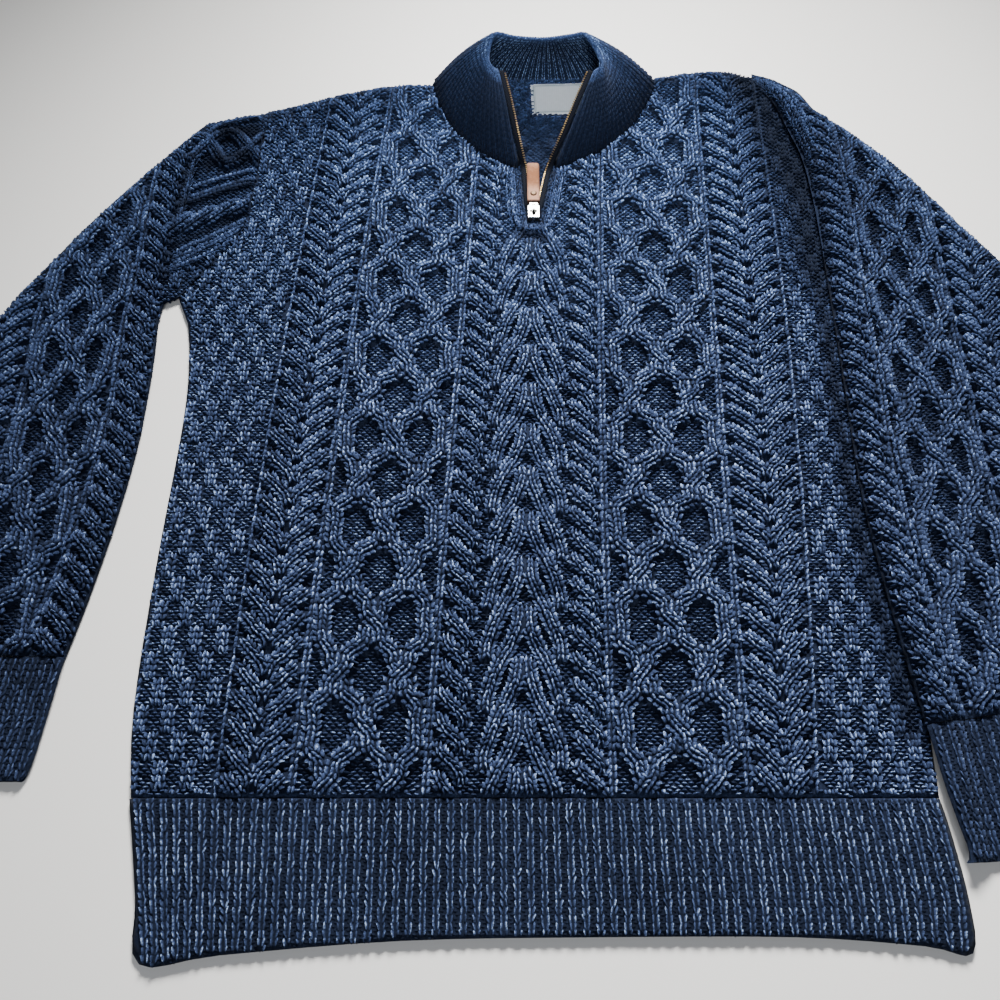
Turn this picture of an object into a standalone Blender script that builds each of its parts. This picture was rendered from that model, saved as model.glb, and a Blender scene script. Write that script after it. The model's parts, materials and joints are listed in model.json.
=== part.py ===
# Zip neck cable knit sweater, laid flat on its back with the sleeves beside the body.
# Metres, +Z up, +Y towards the neck, +X to the right as seen from above.
# Each cut piece is a closed solid: a slab whose outer face carries the raised knit,
# trimmed by a prism of the piece's outline.

import bpy
import bmesh
import math
from mathutils import Vector

for oldObject in list(bpy.data.objects):
    bpy.data.objects.remove(oldObject, do_unlink=True)

# Driving dimensions
seamGap = 0.0003
backWall = 0.003
frontWall = 0.003
sleeveWall = 0.003
sleeveHollow = 0.001
collarWall = 0.0032
frontFloor = backWall + seamGap
frontGround = frontFloor + frontWall
sleeveGround = 2 * sleeveWall + sleeveHollow

cableRise = 0.0040
ropeRise = 0.0038
latticeRise = 0.0034
plaitRise = 0.0038
ridgeRise = 0.0018
mossRise = 0.0014
ribRise = 0.0011
grooveShare = 0.28

cablePitch = 0.0184
plaitPitch = 0.0362
latticeStep = 0.0368
mossPitch = 0.0135
ridgeHalfWidth = 0.0045
hemRibCount = 62
cuffRibCount = 13
collarRibCount = 64

edgeRound = 0.011
edgeDrop = 0.0020
neckMargin = 0.0090
neckSlope = 0.0060
ribSeamY = -0.2840

# Plan lines of the front: where each knit ridge stands at three heights
ridgeHeights = (-0.275, 0.072, 0.300)
ridgeLines = {
    # name: x low, x middle, x high
    "edgeLeft": (-0.2800, -0.2800, -0.2800),
    "ridgeOuterLeft": (-0.2030, -0.1930, -0.1790),
    "ridgeMiddleLeft": (-0.1540, -0.1400, -0.1240),
    "ridgeInnerLeft": (-0.0680, -0.0520, -0.0400),
    "centre": (-0.0060, 0.0040, 0.0130),
    "ridgeInnerRight": (0.0530, 0.0610, 0.0710),
    "ridgeMiddleRight": (0.1400, 0.1520, 0.1590),
    "ridgeOuterRight": (0.1840, 0.2110, 0.2160),
    "edgeRight": (0.2900, 0.2900, 0.2900),
}
ropeWidth = 0.0205

# Outline runs, each as x, y
leftSide = ((-0.257, -0.284), (-0.265, -0.225), (-0.266, -0.120), (-0.264, 0.000), (-0.268, 0.060),
            (-0.275, 0.098))
leftArmhole = ((-0.285, 0.1175), (-0.262, 0.150), (-0.244, 0.182), (-0.236, 0.215), (-0.234, 0.331))
leftShoulder = ((-0.234, 0.331), (-0.193, 0.343), (-0.159, 0.353), (-0.113, 0.364), (-0.078, 0.3655))
leftNeck = ((-0.0765, 0.355), (-0.0590, 0.310), (-0.0370, 0.2845), (-0.0160, 0.2690), (-0.0022, 0.2645))
rightNeck = ((0.0275, 0.2645), (0.0380, 0.2680), (0.0680, 0.2845), (0.0940, 0.3110), (0.1120, 0.3420),
             (0.1195, 0.3600))
rightShoulder = ((0.119, 0.372), (0.135, 0.374), (0.170, 0.3755), (0.208, 0.376), (0.236, 0.366),
                 (0.250, 0.348))
rightSide = ((0.262, 0.320), (0.266, 0.200), (0.272, 0.115), (0.270, 0.000), (0.268, -0.150),
             (0.262, -0.284))
backNeck = ((-0.076, 0.3655), (-0.050, 0.3790), (0.020, 0.3805), (0.095, 0.3800), (0.119, 0.3760))
hemRun = ((-0.258, -0.284), (-0.253, -0.305), (-0.244, -0.345), (-0.236, -0.381), (-0.189, -0.376),
          (-0.080, -0.368), (0.040, -0.366), (0.160, -0.366), (0.237, -0.371), (0.264, -0.375),
          (0.268, -0.345), (0.265, -0.305), (0.262, -0.284))
leftSleeveOuter = ((-0.258, 0.326), (-0.280, 0.319), (-0.292, 0.312), (-0.326, 0.267), (-0.373, 0.198),
                   (-0.398, 0.154), (-0.424, 0.105), (-0.440, 0.060), (-0.4465, 0.010), (-0.4460, -0.045),
                   (-0.4380, -0.105), (-0.4220, -0.160), (-0.4130, -0.190))
leftSleeveInner = ((-0.3175, -0.190), (-0.3100, -0.150), (-0.3010, -0.088), (-0.2950, -0.020),
                   (-0.2950, 0.050), (-0.2975, 0.092), (-0.2960, 0.111))
rightSleeveInner = ((0.2595, -0.2385), (0.2550, -0.200), (0.2480, -0.125), (0.2450, -0.060),
                    (0.2470, 0.020),
                    (0.2490, 0.110), (0.2530, 0.220), (0.2530, 0.320))
rightSleeveOuter = ((0.2560, 0.345), (0.2630, 0.340), (0.2900, 0.315), (0.3340, 0.264), (0.3760, 0.196),
                    (0.4000, 0.158), (0.4210, 0.110), (0.4350, 0.055), (0.4410, 0.000), (0.4390, -0.060),
                    (0.4270, -0.120), (0.4030, -0.180), (0.3790, -0.2185))
leftCuffRun = ((-0.4130, -0.1905), (-0.4175, -0.230), (-0.4180, -0.268), (-0.4100, -0.2735),
               (-0.3420, -0.2735),
               (-0.3270, -0.2700), (-0.3220, -0.240), (-0.3175, -0.1905))
rightCuffRun = ((0.2595, -0.2390), (0.2640, -0.280), (0.2710, -0.3180), (0.2760, -0.3240),
                (0.3600, -0.3130),
                (0.3740, -0.3060), (0.3790, -0.2600), (0.3790, -0.2190))

# Sleeve columns, as distances out from the inner fold line
sleeveRopeWidth = 0.022
sleeveRidgeAt = 0.027
sleeveLatticeEnd = 0.092
sleeveRidgeTwoAt = 0.097
sleeveCableEnd = 0.143
capDip = 0.0012
bodyClimb = 0.0076
climbFoot = 0.2900
climbHead = 0.2725

# Neck seam that carries the collar, and the rim above it: x, y, z
collarSeam = ((-0.0032, 0.2620, 0.00675), (-0.0160, 0.2665, 0.00675), (-0.0380, 0.2820, 0.00675),
              (-0.0605, 0.3090, 0.00675), (-0.0785, 0.3550, 0.00675), (-0.0740, 0.3720, 0.00670),
              (-0.0450, 0.3765, 0.00400), (0.0200, 0.3770, 0.00340), (0.0900, 0.3770, 0.00400),
              (0.1180, 0.3720, 0.00670), (0.1215, 0.3600, 0.00675), (0.1135, 0.3410, 0.00675),
              (0.0955, 0.3090, 0.00675), (0.0690, 0.2820, 0.00675), (0.0400, 0.2665, 0.00675),
              (0.0282, 0.2620, 0.00675))
collarRim = ((-0.0215, 0.3270, 0.0530), (-0.0265, 0.3280, 0.0555), (-0.0295, 0.3320, 0.0595),
             (-0.0300, 0.3380, 0.0630), (-0.0280, 0.3450, 0.0660), (-0.0230, 0.3500, 0.0680),
             (-0.0060, 0.3490, 0.0655), (0.0190, 0.3490, 0.0645), (0.0420, 0.3500, 0.0670),
             (0.0520, 0.3490, 0.0685), (0.0585, 0.3450, 0.0660), (0.0630, 0.3410, 0.0640),
             (0.0665, 0.3370, 0.0620), (0.0685, 0.3320, 0.0590), (0.0670, 0.3280, 0.0555),
             (0.0620, 0.3260, 0.0530))
collarRibRise = 0.0010
collarBulge = 0.0035
collarRows = 4

# Zip, slider and pull
zipCentreX = 0.0090
sliderY = 0.2080
slotLowY = 0.1975
tapeLow = 0.0050
tapeThick = 0.0012
tapeWidth = 0.0048
tapeEndGap = 0.00045
tapeFootGap = 0.00110
tapePathLeft = ((0.0060, 0.1990), (0.0052, 0.2100), (0.0036, 0.2220), (0.0012, 0.2570))
tapePathRight = ((0.0120, 0.1990), (0.0128, 0.2100), (0.0160, 0.2220), (0.0192, 0.2390), (0.0230, 0.2570))
sliderWidth = 0.0092
sliderLength = 0.0135
sliderPlate = 0.0018
sliderLow = tapeLow + tapeThick + seamGap
underPlate = 0.0011
postWidth = 0.0014
postLength = 0.0050
archWidth = 0.0016
archLength = 0.0072
archOpening = 0.0044
archRise = 0.0026
archBar = 0.0012
linkThick = 0.0012
linkWidth = 0.0066
linkHole = 0.0030
linkHoleEnd = 0.0056
linkEnd = 0.0080
tongueWidth = 0.0050
tongueEnd = 0.0210
tabWidth = 0.0108
tabThick = 0.0034
tabStart = 0.0083
tabEnd = 0.0525
rivetAt = 0.0170
rivetRadius = 0.0023
rivetHead = 0.0007
rivetStem = 0.0010
pivotZ = sliderLow + sliderPlate + archRise / 2

labelCentre = (0.0340, 0.3490)
labelSize = (0.0500, 0.0400, 0.0009)
labelTurn = math.radians(2.5)

foldWall = 0.0050
mouthLowY = 0.135
mouthHighY = 0.305


def material(name, colour, roughness, metallic=0.0):
    made = bpy.data.materials.new(name)
    made.use_nodes = True
    shader = made.node_tree.nodes["Principled BSDF"]
    shader.inputs["Base Color"].default_value = (*colour, 1.0)
    shader.inputs["Roughness"].default_value = roughness
    shader.inputs["Metallic"].default_value = metallic
    return made


knitWool = material("knit_wool", (0.042, 0.064, 0.112), 0.95)
ribWool = material("rib_wool", (0.032, 0.048, 0.082), 0.95)
tapeCloth = material("zip_tape", (0.020, 0.030, 0.055), 0.9)
steel = material("slider_steel", (0.72, 0.73, 0.75), 0.25, 1.0)
leather = material("tab_leather", (0.42, 0.19, 0.09), 0.6)
labelCloth = material("label_cloth", (0.80, 0.78, 0.70), 0.9)


def between(table, at):
    for (a, p), (b, q) in zip(table, table[1:]):
        if at <= b:
            break
    share = (at - a) / (b - a)
    return p + (q - p) * share


def lineX(name, y):
    return between(tuple(zip(ridgeHeights, ridgeLines[name])), y)


def smoothRun(points, steps):
    # a soft curve through the points, which it keeps
    pad = [points[0]] + list(points) + [points[-1]]
    run = []
    for i in range(1, len(pad) - 2):
        p0, p1, p2, p3 = (Vector(p) for p in pad[i - 1:i + 3])
        for k in range(steps):
            t = k / steps
            run.append((2 * p1 + (p2 - p0) * t + (2 * p0 - 5 * p1 + 4 * p2 - p3) * t * t
                        + (3 * p1 - p0 - 3 * p2 + p3) * t ** 3) / 2)
    run.append(Vector(points[-1]))
    return [tuple(p) for p in run]


def plan(run):
    return [(p[0], p[1]) for p in run]


def distanceTo(run, x, y):
    best = 1.0
    for (ax, ay), (bx, by) in zip(run, run[1:]):
        dx, dy = bx - ax, by - ay
        t = max(0.0, min(1.0, ((x - ax) * dx + (y - ay) * dy) / (dx * dx + dy * dy)))
        best = min(best, math.hypot(x - ax - t * dx, y - ay - t * dy))
    return best


def addObject(name, mesh, look):
    made = bpy.data.objects.new(name, mesh)
    bpy.context.scene.collection.objects.link(made)
    made.data.materials.append(look)
    return made


def meshFrom(name, points, faces):
    mesh = bpy.data.meshes.new(name)
    mesh.from_pydata(points, [], faces)
    mesh.validate()
    form = bmesh.new()
    form.from_mesh(mesh)
    bmesh.ops.recalc_face_normals(form, faces=form.faces)
    form.to_mesh(mesh)
    form.free()
    return mesh


def prism(name, outline, low, high):
    count = len(outline)
    points = [(x, y, low) for x, y in outline] + [(x, y, high) for x, y in outline]
    faces = [tuple(range(count)), tuple(range(count, 2 * count))]
    for i in range(count):
        j = (i + 1) % count
        faces.append((i, j, j + count, i + count))
    return meshFrom(name, points, faces)


def zipFaces(first, second, heights):
    # triangles between two columns of points, following the raised diagonals
    faces = []
    i, j = 0, 0
    while i < len(first) - 1 or j < len(second) - 1:
        if i == len(first) - 1:
            stepFirst = False
        elif j == len(second) - 1:
            stepFirst = True
        elif len(first) == len(second) and i == j:
            up = heights[first[i + 1]][2] + heights[second[j]][2]
            down = heights[first[i]][2] + heights[second[j + 1]][2]
            stepFirst = up >= down
        elif len(first) == len(second):
            stepFirst = i < j
        else:
            stepFirst = heights[first[i + 1]][1] <= heights[second[j + 1]][1]
        if stepFirst:
            faces.append((first[i], second[j], first[i + 1]))
            i += 1
        else:
            faces.append((first[i], second[j], second[j + 1]))
            j += 1
    return faces


def slab(name, columns, lowY, highY, lowZ):
    # columns run up the piece: each is (x at y, rows of (y, z)), lowZ(x) is the plain side
    points = []
    tops = []
    feet = []
    for xAt, rows in columns:
        kept = [(y, z) for y, z in rows if lowY + 0.001 < y < highY - 0.001]
        lowest = kept[0][1] if kept else rows[0][1]
        highest = kept[-1][1] if kept else rows[0][1]
        ends = [(lowY, lowest)] + kept + [(highY, highest)]
        tops.append([])
        for y, z in ends:
            tops[-1].append(len(points))
            points.append((xAt(y), y, z))
        feet.append([])
        for y in (lowY, highY):
            feet[-1].append(len(points))
            points.append((xAt(y), y, lowZ(xAt(y))))
    faces = []
    for k in range(len(columns) - 1):
        faces += zipFaces(tops[k], tops[k + 1], points)
        a, b = feet[k], feet[k + 1]
        faces += [(a[0], a[1], b[1]), (a[0], b[1], b[0])]
        faces.append((tops[k][0], tops[k + 1][0], b[0], a[0]))
        faces.append((tops[k][-1], tops[k + 1][-1], b[1], a[1]))
    for k in (0, -1):
        faces.append(tuple(tops[k]) + (feet[k][1], feet[k][0]))
    return meshFrom(name, points, faces)


def trim(piece, outline, low, high, operation="INTERSECT", mesh=None):
    shape = mesh or prism("outline", outline, low, high)
    cutter = bpy.data.objects.new(piece.name + "_" + operation.lower(), shape)
    bpy.context.scene.collection.objects.link(cutter)
    cutter.hide_render = True
    cutter.display_type = "WIRE"
    cut = piece.modifiers.new(operation, "BOOLEAN")
    cut.operation = operation
    cut.object = cutter
    cut.solver = "EXACT"


# Knit columns. Each maker returns (share across the zone, rows of (y, rise)).
def evenRows(lowY, highY, pitch, shift=0.0):
    count = int((highY - lowY) / pitch) + 2
    return [lowY + shift + pitch * n for n in range(-1, count)]


def cableColumns(lowY, highY):
    # horseshoe cable: strands sweep down to the middle
    made = [(0.0, [(y, 0.0003) for y in evenRows(lowY, highY, 2 * cablePitch)])]
    for share in (0.14, 0.32, 0.5, 0.68, 0.86):
        lift = abs(share - 0.5) * 2 * cablePitch * 0.95
        rows = []
        for n, y in enumerate(evenRows(lowY, highY, cablePitch / 2, lift)):
            high = cableRise * (0.85 if share == 0.5 else 1.0)
            rows.append((y, high if n % 2 else cableRise * grooveShare))
        made.append((share, rows))
    made.append((1.0, [(y, 0.0003) for y in evenRows(lowY, highY, 2 * cablePitch)]))
    return made


def ropeColumns(lowY, highY, lean):
    made = [(0.0, [(y, 0.0003) for y in evenRows(lowY, highY, 2 * cablePitch)])]
    for share in (0.27, 0.73):
        shift = -lean * (share - 0.5) * cablePitch
        rows = [(y, ropeRise if n % 2 else ropeRise * grooveShare)
                for n, y in enumerate(evenRows(lowY, highY, cablePitch / 2, shift))]
        made.append((share, rows))
    made.append((1.0, [(y, 0.0003) for y in evenRows(lowY, highY, 2 * cablePitch)]))
    return made


def plaitColumns(lowY, highY):
    # centre plait: strands flow down and out from the middle line
    made = []
    for share in (0.0, 0.17, 0.34, 0.5, 0.66, 0.83, 1.0):
        drop = -abs(share - 0.5) * 2 * plaitPitch * 0.9
        rows = []
        for n, y in enumerate(evenRows(lowY, highY, plaitPitch / 3, drop)):
            rise = plaitRise * (grooveShare, 1.0, 0.75)[n % 3]
            rows.append((y, rise * (0.3 if share in (0.0, 1.0) else 1.0)))
        made.append((share, rows))
    return made


def latticeColumns(lowY, highY):
    # trellis of crossing strands round deep holes
    made = []
    for k in range(9):
        across = -2 + k * 0.5
        rows = []
        for n, y in enumerate(evenRows(lowY, highY, latticeStep / 2)):
            up = n * 0.5
            nearest = min(abs((across + up + 1) % 2 - 1), abs((across - up + 1) % 2 - 1))
            rise = latticeRise * max(0.0, 1 - (nearest / 0.6) ** 2)
            if k in (0, 8):
                rise = max(rise, latticeRise * 0.45)
            rows.append((y, rise))
        made.append((k / 8, rows))
    return made


def mossColumns(lowY, highY, count):
    made = []
    for k in range(count + 1):
        rows = [(y, mossRise if (n + k) % 2 else 0.0002)
                for n, y in enumerate(evenRows(lowY, highY, mossPitch))]
        made.append((k / count, rows))
    return made


def ridgeColumn(lowY, highY):
    return [(y, ridgeRise) for y in evenRows(lowY, highY, 0.070)]


def frontColumns(lowY, highY, ground):
    # the whole front from left to right, as columns with real heights
    columns = []

    def addZone(leftName, rightName, inLeft, inRight, zone):
        for share, rows in zone:
            def xAt(y, share=share):
                a = lineX(leftName, y) + inLeft
                b = lineX(rightName, y) - inRight
                return a + (b - a) * share
            addColumn(xAt, rows)

    def addColumn(xAt, rows):
        rows = sorted(rows + [(y, between(rows, y)) for y in neckRows(xAt, highY)])
        columns.append((xAt, [(y, ground(xAt(y), y, rise)) for y, rise in rows]))

    def addRidge(name):
        addColumn(lambda y: lineX(name, y), ridgeColumn(lowY, highY))

    half = ridgeHalfWidth
    addZone("edgeLeft", "ridgeOuterLeft", 0.0, half, mossColumns(lowY, highY, 6))
    addRidge("ridgeOuterLeft")
    addZone("ridgeOuterLeft", "ridgeMiddleLeft", half, half, cableColumns(lowY, highY))
    addRidge("ridgeMiddleLeft")
    addZone("ridgeMiddleLeft", "ridgeInnerLeft", half, half, latticeColumns(lowY, highY))
    addRidge("ridgeInnerLeft")
    middle = "ridgeInnerLeft"
    gap = half + 0.0005
    addZone(middle, "centre", gap, 0.0365, ropeColumns(lowY, highY, 1.0))
    plaitEdge = gap + ropeWidth + 0.003
    addZone(middle, "ridgeInnerRight", plaitEdge, plaitEdge, plaitColumns(lowY, highY))
    addZone("centre", "ridgeInnerRight", 0.0345, gap, ropeColumns(lowY, highY, 1.0))
    addRidge("ridgeInnerRight")
    addZone("ridgeInnerRight", "ridgeMiddleRight", half, half, latticeColumns(lowY, highY))
    addRidge("ridgeMiddleRight")
    addZone("ridgeMiddleRight", "ridgeOuterRight", half, half, cableColumns(lowY, highY))
    addRidge("ridgeOuterRight")
    addZone("ridgeOuterRight", "edgeRight", half, 0.0, mossColumns(lowY, highY, 6))
    return columns


def zipSlot(side):
    # edges of the slot for the zip, just clear of its tapes
    away = tapeWidth / 2 + tapeEndGap
    if side == "left":
        edge = [(x - away, y) for x, y in reversed(tapePathLeft[1:])]
        return edge + [(tapePathLeft[0][0] - away, slotLowY)]
    return [(tapePathRight[0][0] + away, slotLowY)] + [(x + away, y) for x, y in tapePathRight[1:]]


def bodyOutline():
    run = smoothRun(leftSide, 2)[:-1] + smoothRun(leftArmhole, 2)[:-1] + smoothRun(leftShoulder, 2)
    run += smoothRun(leftNeck, 2) + zipSlot("left") + zipSlot("right") + smoothRun(rightNeck, 2)
    return plan(run + smoothRun(rightShoulder, 2) + smoothRun(rightSide, 2))


def backOutline():
    run = smoothRun(leftSide, 2)[:-1] + smoothRun(leftArmhole, 2)[:-1] + smoothRun(leftShoulder, 2)[:-1]
    run += smoothRun(backNeck, 2) + smoothRun(rightShoulder, 2)[1:]
    return plan(run + smoothRun(rightSide, 2))


bodyFolds = (leftSide + leftArmhole[:1], leftShoulder, rightShoulder + rightSide)
neckEdge = list(leftNeck) + zipSlot("left") + zipSlot("right") + list(rightNeck)


def neckRows(xAt, highY):
    # where a column crosses the two edges of the flat margin round the neck and the zip
    found = []
    step = 0.001
    y = slotLowY - 0.040
    last = distanceTo(neckEdge, xAt(y), y)
    while y < highY - 0.004:
        y += step
        now = distanceTo(neckEdge, xAt(y), y)
        for edge in (neckMargin, neckMargin + neckSlope):
            if (last - edge) * (now - edge) <= 0:
                found.append(y)
        last = now
    return found


def frontHeight(x, y, rise):
    nearFold = min(distanceTo(run, x, y) for run in bodyFolds)
    nearOpening = distanceTo(neckEdge, x, y)
    inward = min(1.0, nearFold / edgeRound)
    fade = min(1.0, max(0.0, (nearFold - 0.003) / 0.008))
    fade *= min(1.0, max(0.0, (nearOpening - neckMargin) / neckSlope))
    if x > 0.238:
        fade *= 0.25
    return frontGround - edgeDrop * (1 - math.sqrt(1 - (1 - inward) ** 2)) + rise * fade


def makeFront():
    lowY, highY = ribSeamY - 0.012, 0.390
    mesh = slab("front_panel", frontColumns(lowY, highY, frontHeight), lowY, highY, lambda x: frontFloor)
    front = addObject("front_panel", mesh, knitWool)
    trim(front, bodyOutline(), 0.001, 0.03)


def makeBack():
    addObject("back_panel", prism("back_panel", backOutline(), 0.0, backWall), knitWool)


def ribColumns(lowY, highY, lowX, highX, lean, count, height):
    # up and down ribs: a raised line at each rib, a valley between
    columns = []
    for k in range(2 * count + 1):
        share = k / (2 * count)

        def xAt(y, share=share):
            return lowX(y) + (highX(y) - lowX(y)) * share + lean * (y - lowY)
        middle = (lowY + highY) / 2
        columns.append((xAt, [(middle, height(xAt(middle), middle, ribRise if k % 2 else 0.0))]))
    return columns


def makeHem():
    seam = ribSeamY - seamGap - 0.0002
    outline = [(x, min(y, seam)) for x, y in plan(smoothRun(hemRun, 2))]
    lowY, highY = -0.395, -0.275
    folds = (hemRun[:4], hemRun[8:])

    def height(x, y, rise):
        inward = min(1.0, min(distanceTo(run, x, y) for run in folds) / edgeRound)
        return frontGround - edgeDrop * (1 - math.sqrt(1 - (1 - inward) ** 2)) + rise

    columns = ribColumns(lowY, highY, lambda y: -0.268, lambda y: 0.272, 0.0, hemRibCount, height)
    ribMesh = slab("hem_rib_front", columns, lowY, highY, lambda x: frontFloor)
    ribFront = addObject("hem_rib_front", ribMesh, ribWool)
    trim(ribFront, outline, 0.001, 0.03)
    addObject("hem_rib_back", prism("hem_rib_back", outline, 0.0, backWall), ribWool)


def climb(x):
    # the right sleeve leaves the floor to lie over the body's edge
    share = max(0.0, min(1.0, (climbFoot - x) / (climbFoot - climbHead)))
    return bodyClimb * share


def flat(x):
    return 0.0


def sleeveColumns(side, innerRun, lowY, highY, ground):
    # side is -1 for the left sleeve and 1 for the right one
    line = tuple((y, x) for x, y in innerRun)

    def innerX(y):
        return between(line, min(max(y, line[0][0]), line[-1][0]))

    columns = []

    def addZone(start, end, zone):
        for share, rows in zone:
            out = start + (end - start) * share
            columns.append((out, rows))

    addZone(0.0010, sleeveRopeWidth, ropeColumns(lowY, highY, 1.0))
    columns.append((sleeveRidgeAt, ridgeColumn(lowY, highY)))
    addZone(sleeveRidgeAt + ridgeHalfWidth, sleeveLatticeEnd, latticeColumns(lowY, highY))
    columns.append((sleeveRidgeTwoAt, ridgeColumn(lowY, highY)))
    addZone(sleeveRidgeTwoAt + ridgeHalfWidth, sleeveCableEnd, cableColumns(lowY, highY))
    for k, out in enumerate((0.150, 0.158, 0.170, 0.185)):
        columns.append((out, [(y, mossRise if (n + k) % 2 else 0.0)
                              for n, y in enumerate(evenRows(lowY, highY, mossPitch))]))
    placed = []
    for out, rows in columns:
        def xAt(y, out=out):
            return innerX(y) + side * out
        placed.append((xAt, [(y, ground(xAt(y), y, rise)) for y, rise in rows]))
    return placed


def makeSleeve(name, side, outline, innerRun, outerRun, lowY, highY, under, capXs):
    def height(x, y, rise):
        near = min(distanceTo(outerRun, x, y), distanceTo(innerRun, x, y))
        inward = min(1.0, near / edgeRound)
        base = sleeveGround - 0.0030 * (1 - math.sqrt(1 - (1 - inward) ** 2))
        return under(x) + base + rise * min(1.0, max(0.0, (near - 0.002) / 0.006))

    columns = sleeveColumns(side, innerRun, lowY, highY, height)
    for k, capX in enumerate(capXs):
        rows = [(y, sleeveGround - capDip + (mossRise if (n + k) % 2 else 0.0))
                for n, y in enumerate(evenRows(0.100, highY, mossPitch))]
        columns.insert(0, (lambda y, capX=capX: capX, rows))
    if side < 0:
        columns.reverse()
    sleeve = addObject(name, slab(name, columns, lowY, highY, under), knitWool)
    trim(sleeve, outline, -0.001, 0.04)
    return sleeve


def inset(run, amount):
    # the run moved towards its right-hand side
    moved = []
    for k, (x, y) in enumerate(run):
        ax, ay = run[max(k - 1, 0)]
        bx, by = run[min(k + 1, len(run) - 1)]
        length = math.hypot(bx - ax, by - ay)
        moved.append((x + (by - ay) / length * amount, y - (bx - ax) / length * amount))
    return moved


def hollowOut(tube, outline, lowY, highY, edges, under):
    # the flat space between a tube's two layers
    middleY = (lowY + highY) / 2
    columns = [(lambda y, x=x: x, [(middleY, under(x) + sleeveWall + sleeveHollow)]) for x in edges]
    space = slab(tube.name + "_space", columns, lowY, highY, lambda x: under(x) + sleeveWall)
    trim(tube, None, 0, 0, "DIFFERENCE", space)
    trim(bpy.data.objects[tube.name + "_difference"], outline, -0.002, 0.045)


def makeSleeves():
    armhole = [(x - 0.0006, y) for x, y in plan(smoothRun(leftArmhole, 2))]
    outline = armhole + plan(smoothRun(leftSleeveOuter, 2)) + plan(smoothRun(leftSleeveInner, 2))
    left = makeSleeve("sleeve_left", -1, outline, leftSleeveInner, leftSleeveOuter, -0.200, 0.340, flat,
                      (-0.288, -0.278, -0.266, -0.254, -0.242, -0.228))
    outer = inset(leftSleeveOuter, -foldWall)
    inner = inset(leftSleeveInner, -foldWall)
    space = outer + [(outer[-1][0], -0.220), (inner[0][0], -0.220)] + inner
    space += [(-0.2915, 0.1240), (-0.2700, 0.1150), (-0.2200, 0.1900), (-0.2200, 0.3230)]
    hollowOut(left, space, -0.230, 0.340, (-0.460, -0.200), flat)
    outline = plan(smoothRun(rightSleeveInner, 2)) + plan(smoothRun(rightSleeveOuter, 2))
    right = makeSleeve("sleeve_right", 1, outline, rightSleeveInner, rightSleeveOuter, -0.250, 0.355, climb,
                       (0.240,))
    outer = inset(rightSleeveOuter, foldWall)
    inner = inset(rightSleeveInner, foldWall)
    space = inner + outer + [(outer[-1][0] + 0.002, -0.260), (inner[0][0] + 0.002, -0.260)]
    hollowOut(right, space, -0.262, 0.355, (0.230, climbHead, climbFoot, 0.460), climb)
    mouth = prism("mouth", [(0.259, mouthLowY), (0.2635, mouthLowY), (0.2635, mouthHighY),
                            (0.259, mouthHighY)],
                  bodyClimb - 0.001, bodyClimb + sleeveWall + sleeveHollow / 2)
    cutter = bpy.data.objects.new("sleeve_right_mouth", mouth)
    bpy.context.scene.collection.objects.link(cutter)
    cutter.hide_render = True
    cutter.display_type = "WIRE"
    cut = right.modifiers.new("mouth", "BOOLEAN")
    cut.operation = "DIFFERENCE"
    cut.object = cutter


def makeCuffs():
    for name, run, lowX, highX, under, splits in (
            ("cuff_left", leftCuffRun, -0.424, -0.312, flat, ()),
            ("cuff_right", rightCuffRun, 0.252, 0.386, climb, (climbHead, climbFoot))):
        folds = (run[:3], run[5:])

        def height(x, y, rise):
            inward = min(1.0, min(distanceTo(line, x, y) for line in folds) / edgeRound)
            return under(x) + sleeveGround - 0.0030 * (1 - math.sqrt(1 - (1 - inward) ** 2)) + rise

        columns = ribColumns(-0.340, -0.180, lambda y: lowX, lambda y: highX, 0.0, cuffRibCount, height)
        cuff = addObject(name, slab(name, columns, -0.340, -0.180, under), ribWool)
        trim(cuff, plan(smoothRun(run, 2)), -0.001, 0.04)
        if name == "cuff_left":
            space = [(-0.4080, -0.170), (-0.4125, -0.240), (-0.4120, -0.300), (-0.3330, -0.300),
                     (-0.3275, -0.240), (-0.3230, -0.170)]
        else:
            space = [(0.2650, -0.200), (0.2690, -0.280), (0.2790, -0.350), (0.3700, -0.350),
                     (0.3735, -0.260),
                     (0.3735, -0.200)]
        hollowOut(cuff, space, -0.345, -0.175, (lowX - 0.01,) + splits + (highX + 0.01,), under)


# Collar
def runPoint(run, t):
    k = min(int(t), len(run) - 2)
    return smoothAt(run, k, t - k)


def smoothAt(run, k, t):
    p0 = Vector(run[max(k - 1, 0)])
    p1 = Vector(run[k])
    p2 = Vector(run[k + 1])
    p3 = Vector(run[min(k + 2, len(run) - 1)])
    return (2 * p1 + (p2 - p0) * t + (2 * p0 - 5 * p1 + 4 * p2 - p3) * t * t
            + (3 * p1 - p0 - 3 * p2 + p3) * t ** 3) / 2


def evenShares(run, count):
    # where to stand on the run so that steps along it are equal
    fine = [i * (len(run) - 1) / 600 for i in range(601)]
    places = [runPoint(run, t) for t in fine]
    lengths = [0.0]
    for a, b in zip(places, places[1:]):
        lengths.append(lengths[-1] + (b - a).length)
    return [between(list(zip(lengths, fine)), lengths[-1] * k / count) for k in range(count + 1)]


def collarFrame(t, share):
    # a point of the collar's middle surface, its run direction and its outward direction
    step = 0.02
    low = max(0.0, t - step)
    high = min(len(collarSeam) - 1.0, t + step)
    foot = runPoint(collarSeam, t)
    head = runPoint(collarRim, t)
    along = ((runPoint(collarSeam, high) - runPoint(collarSeam, low)).normalized() * (1 - share)
             + (runPoint(collarRim, high) - runPoint(collarRim, low)).normalized() * share).normalized()
    out = (head - foot).cross(along).normalized()
    point = foot.lerp(head, share) + out * collarBulge * math.sin(math.pi * share)
    if share == 0.0:
        level = Vector((out.x, out.y, 0.0))
        out = level.normalized() / max(level.length, 0.6)
    return point, along, out


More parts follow.
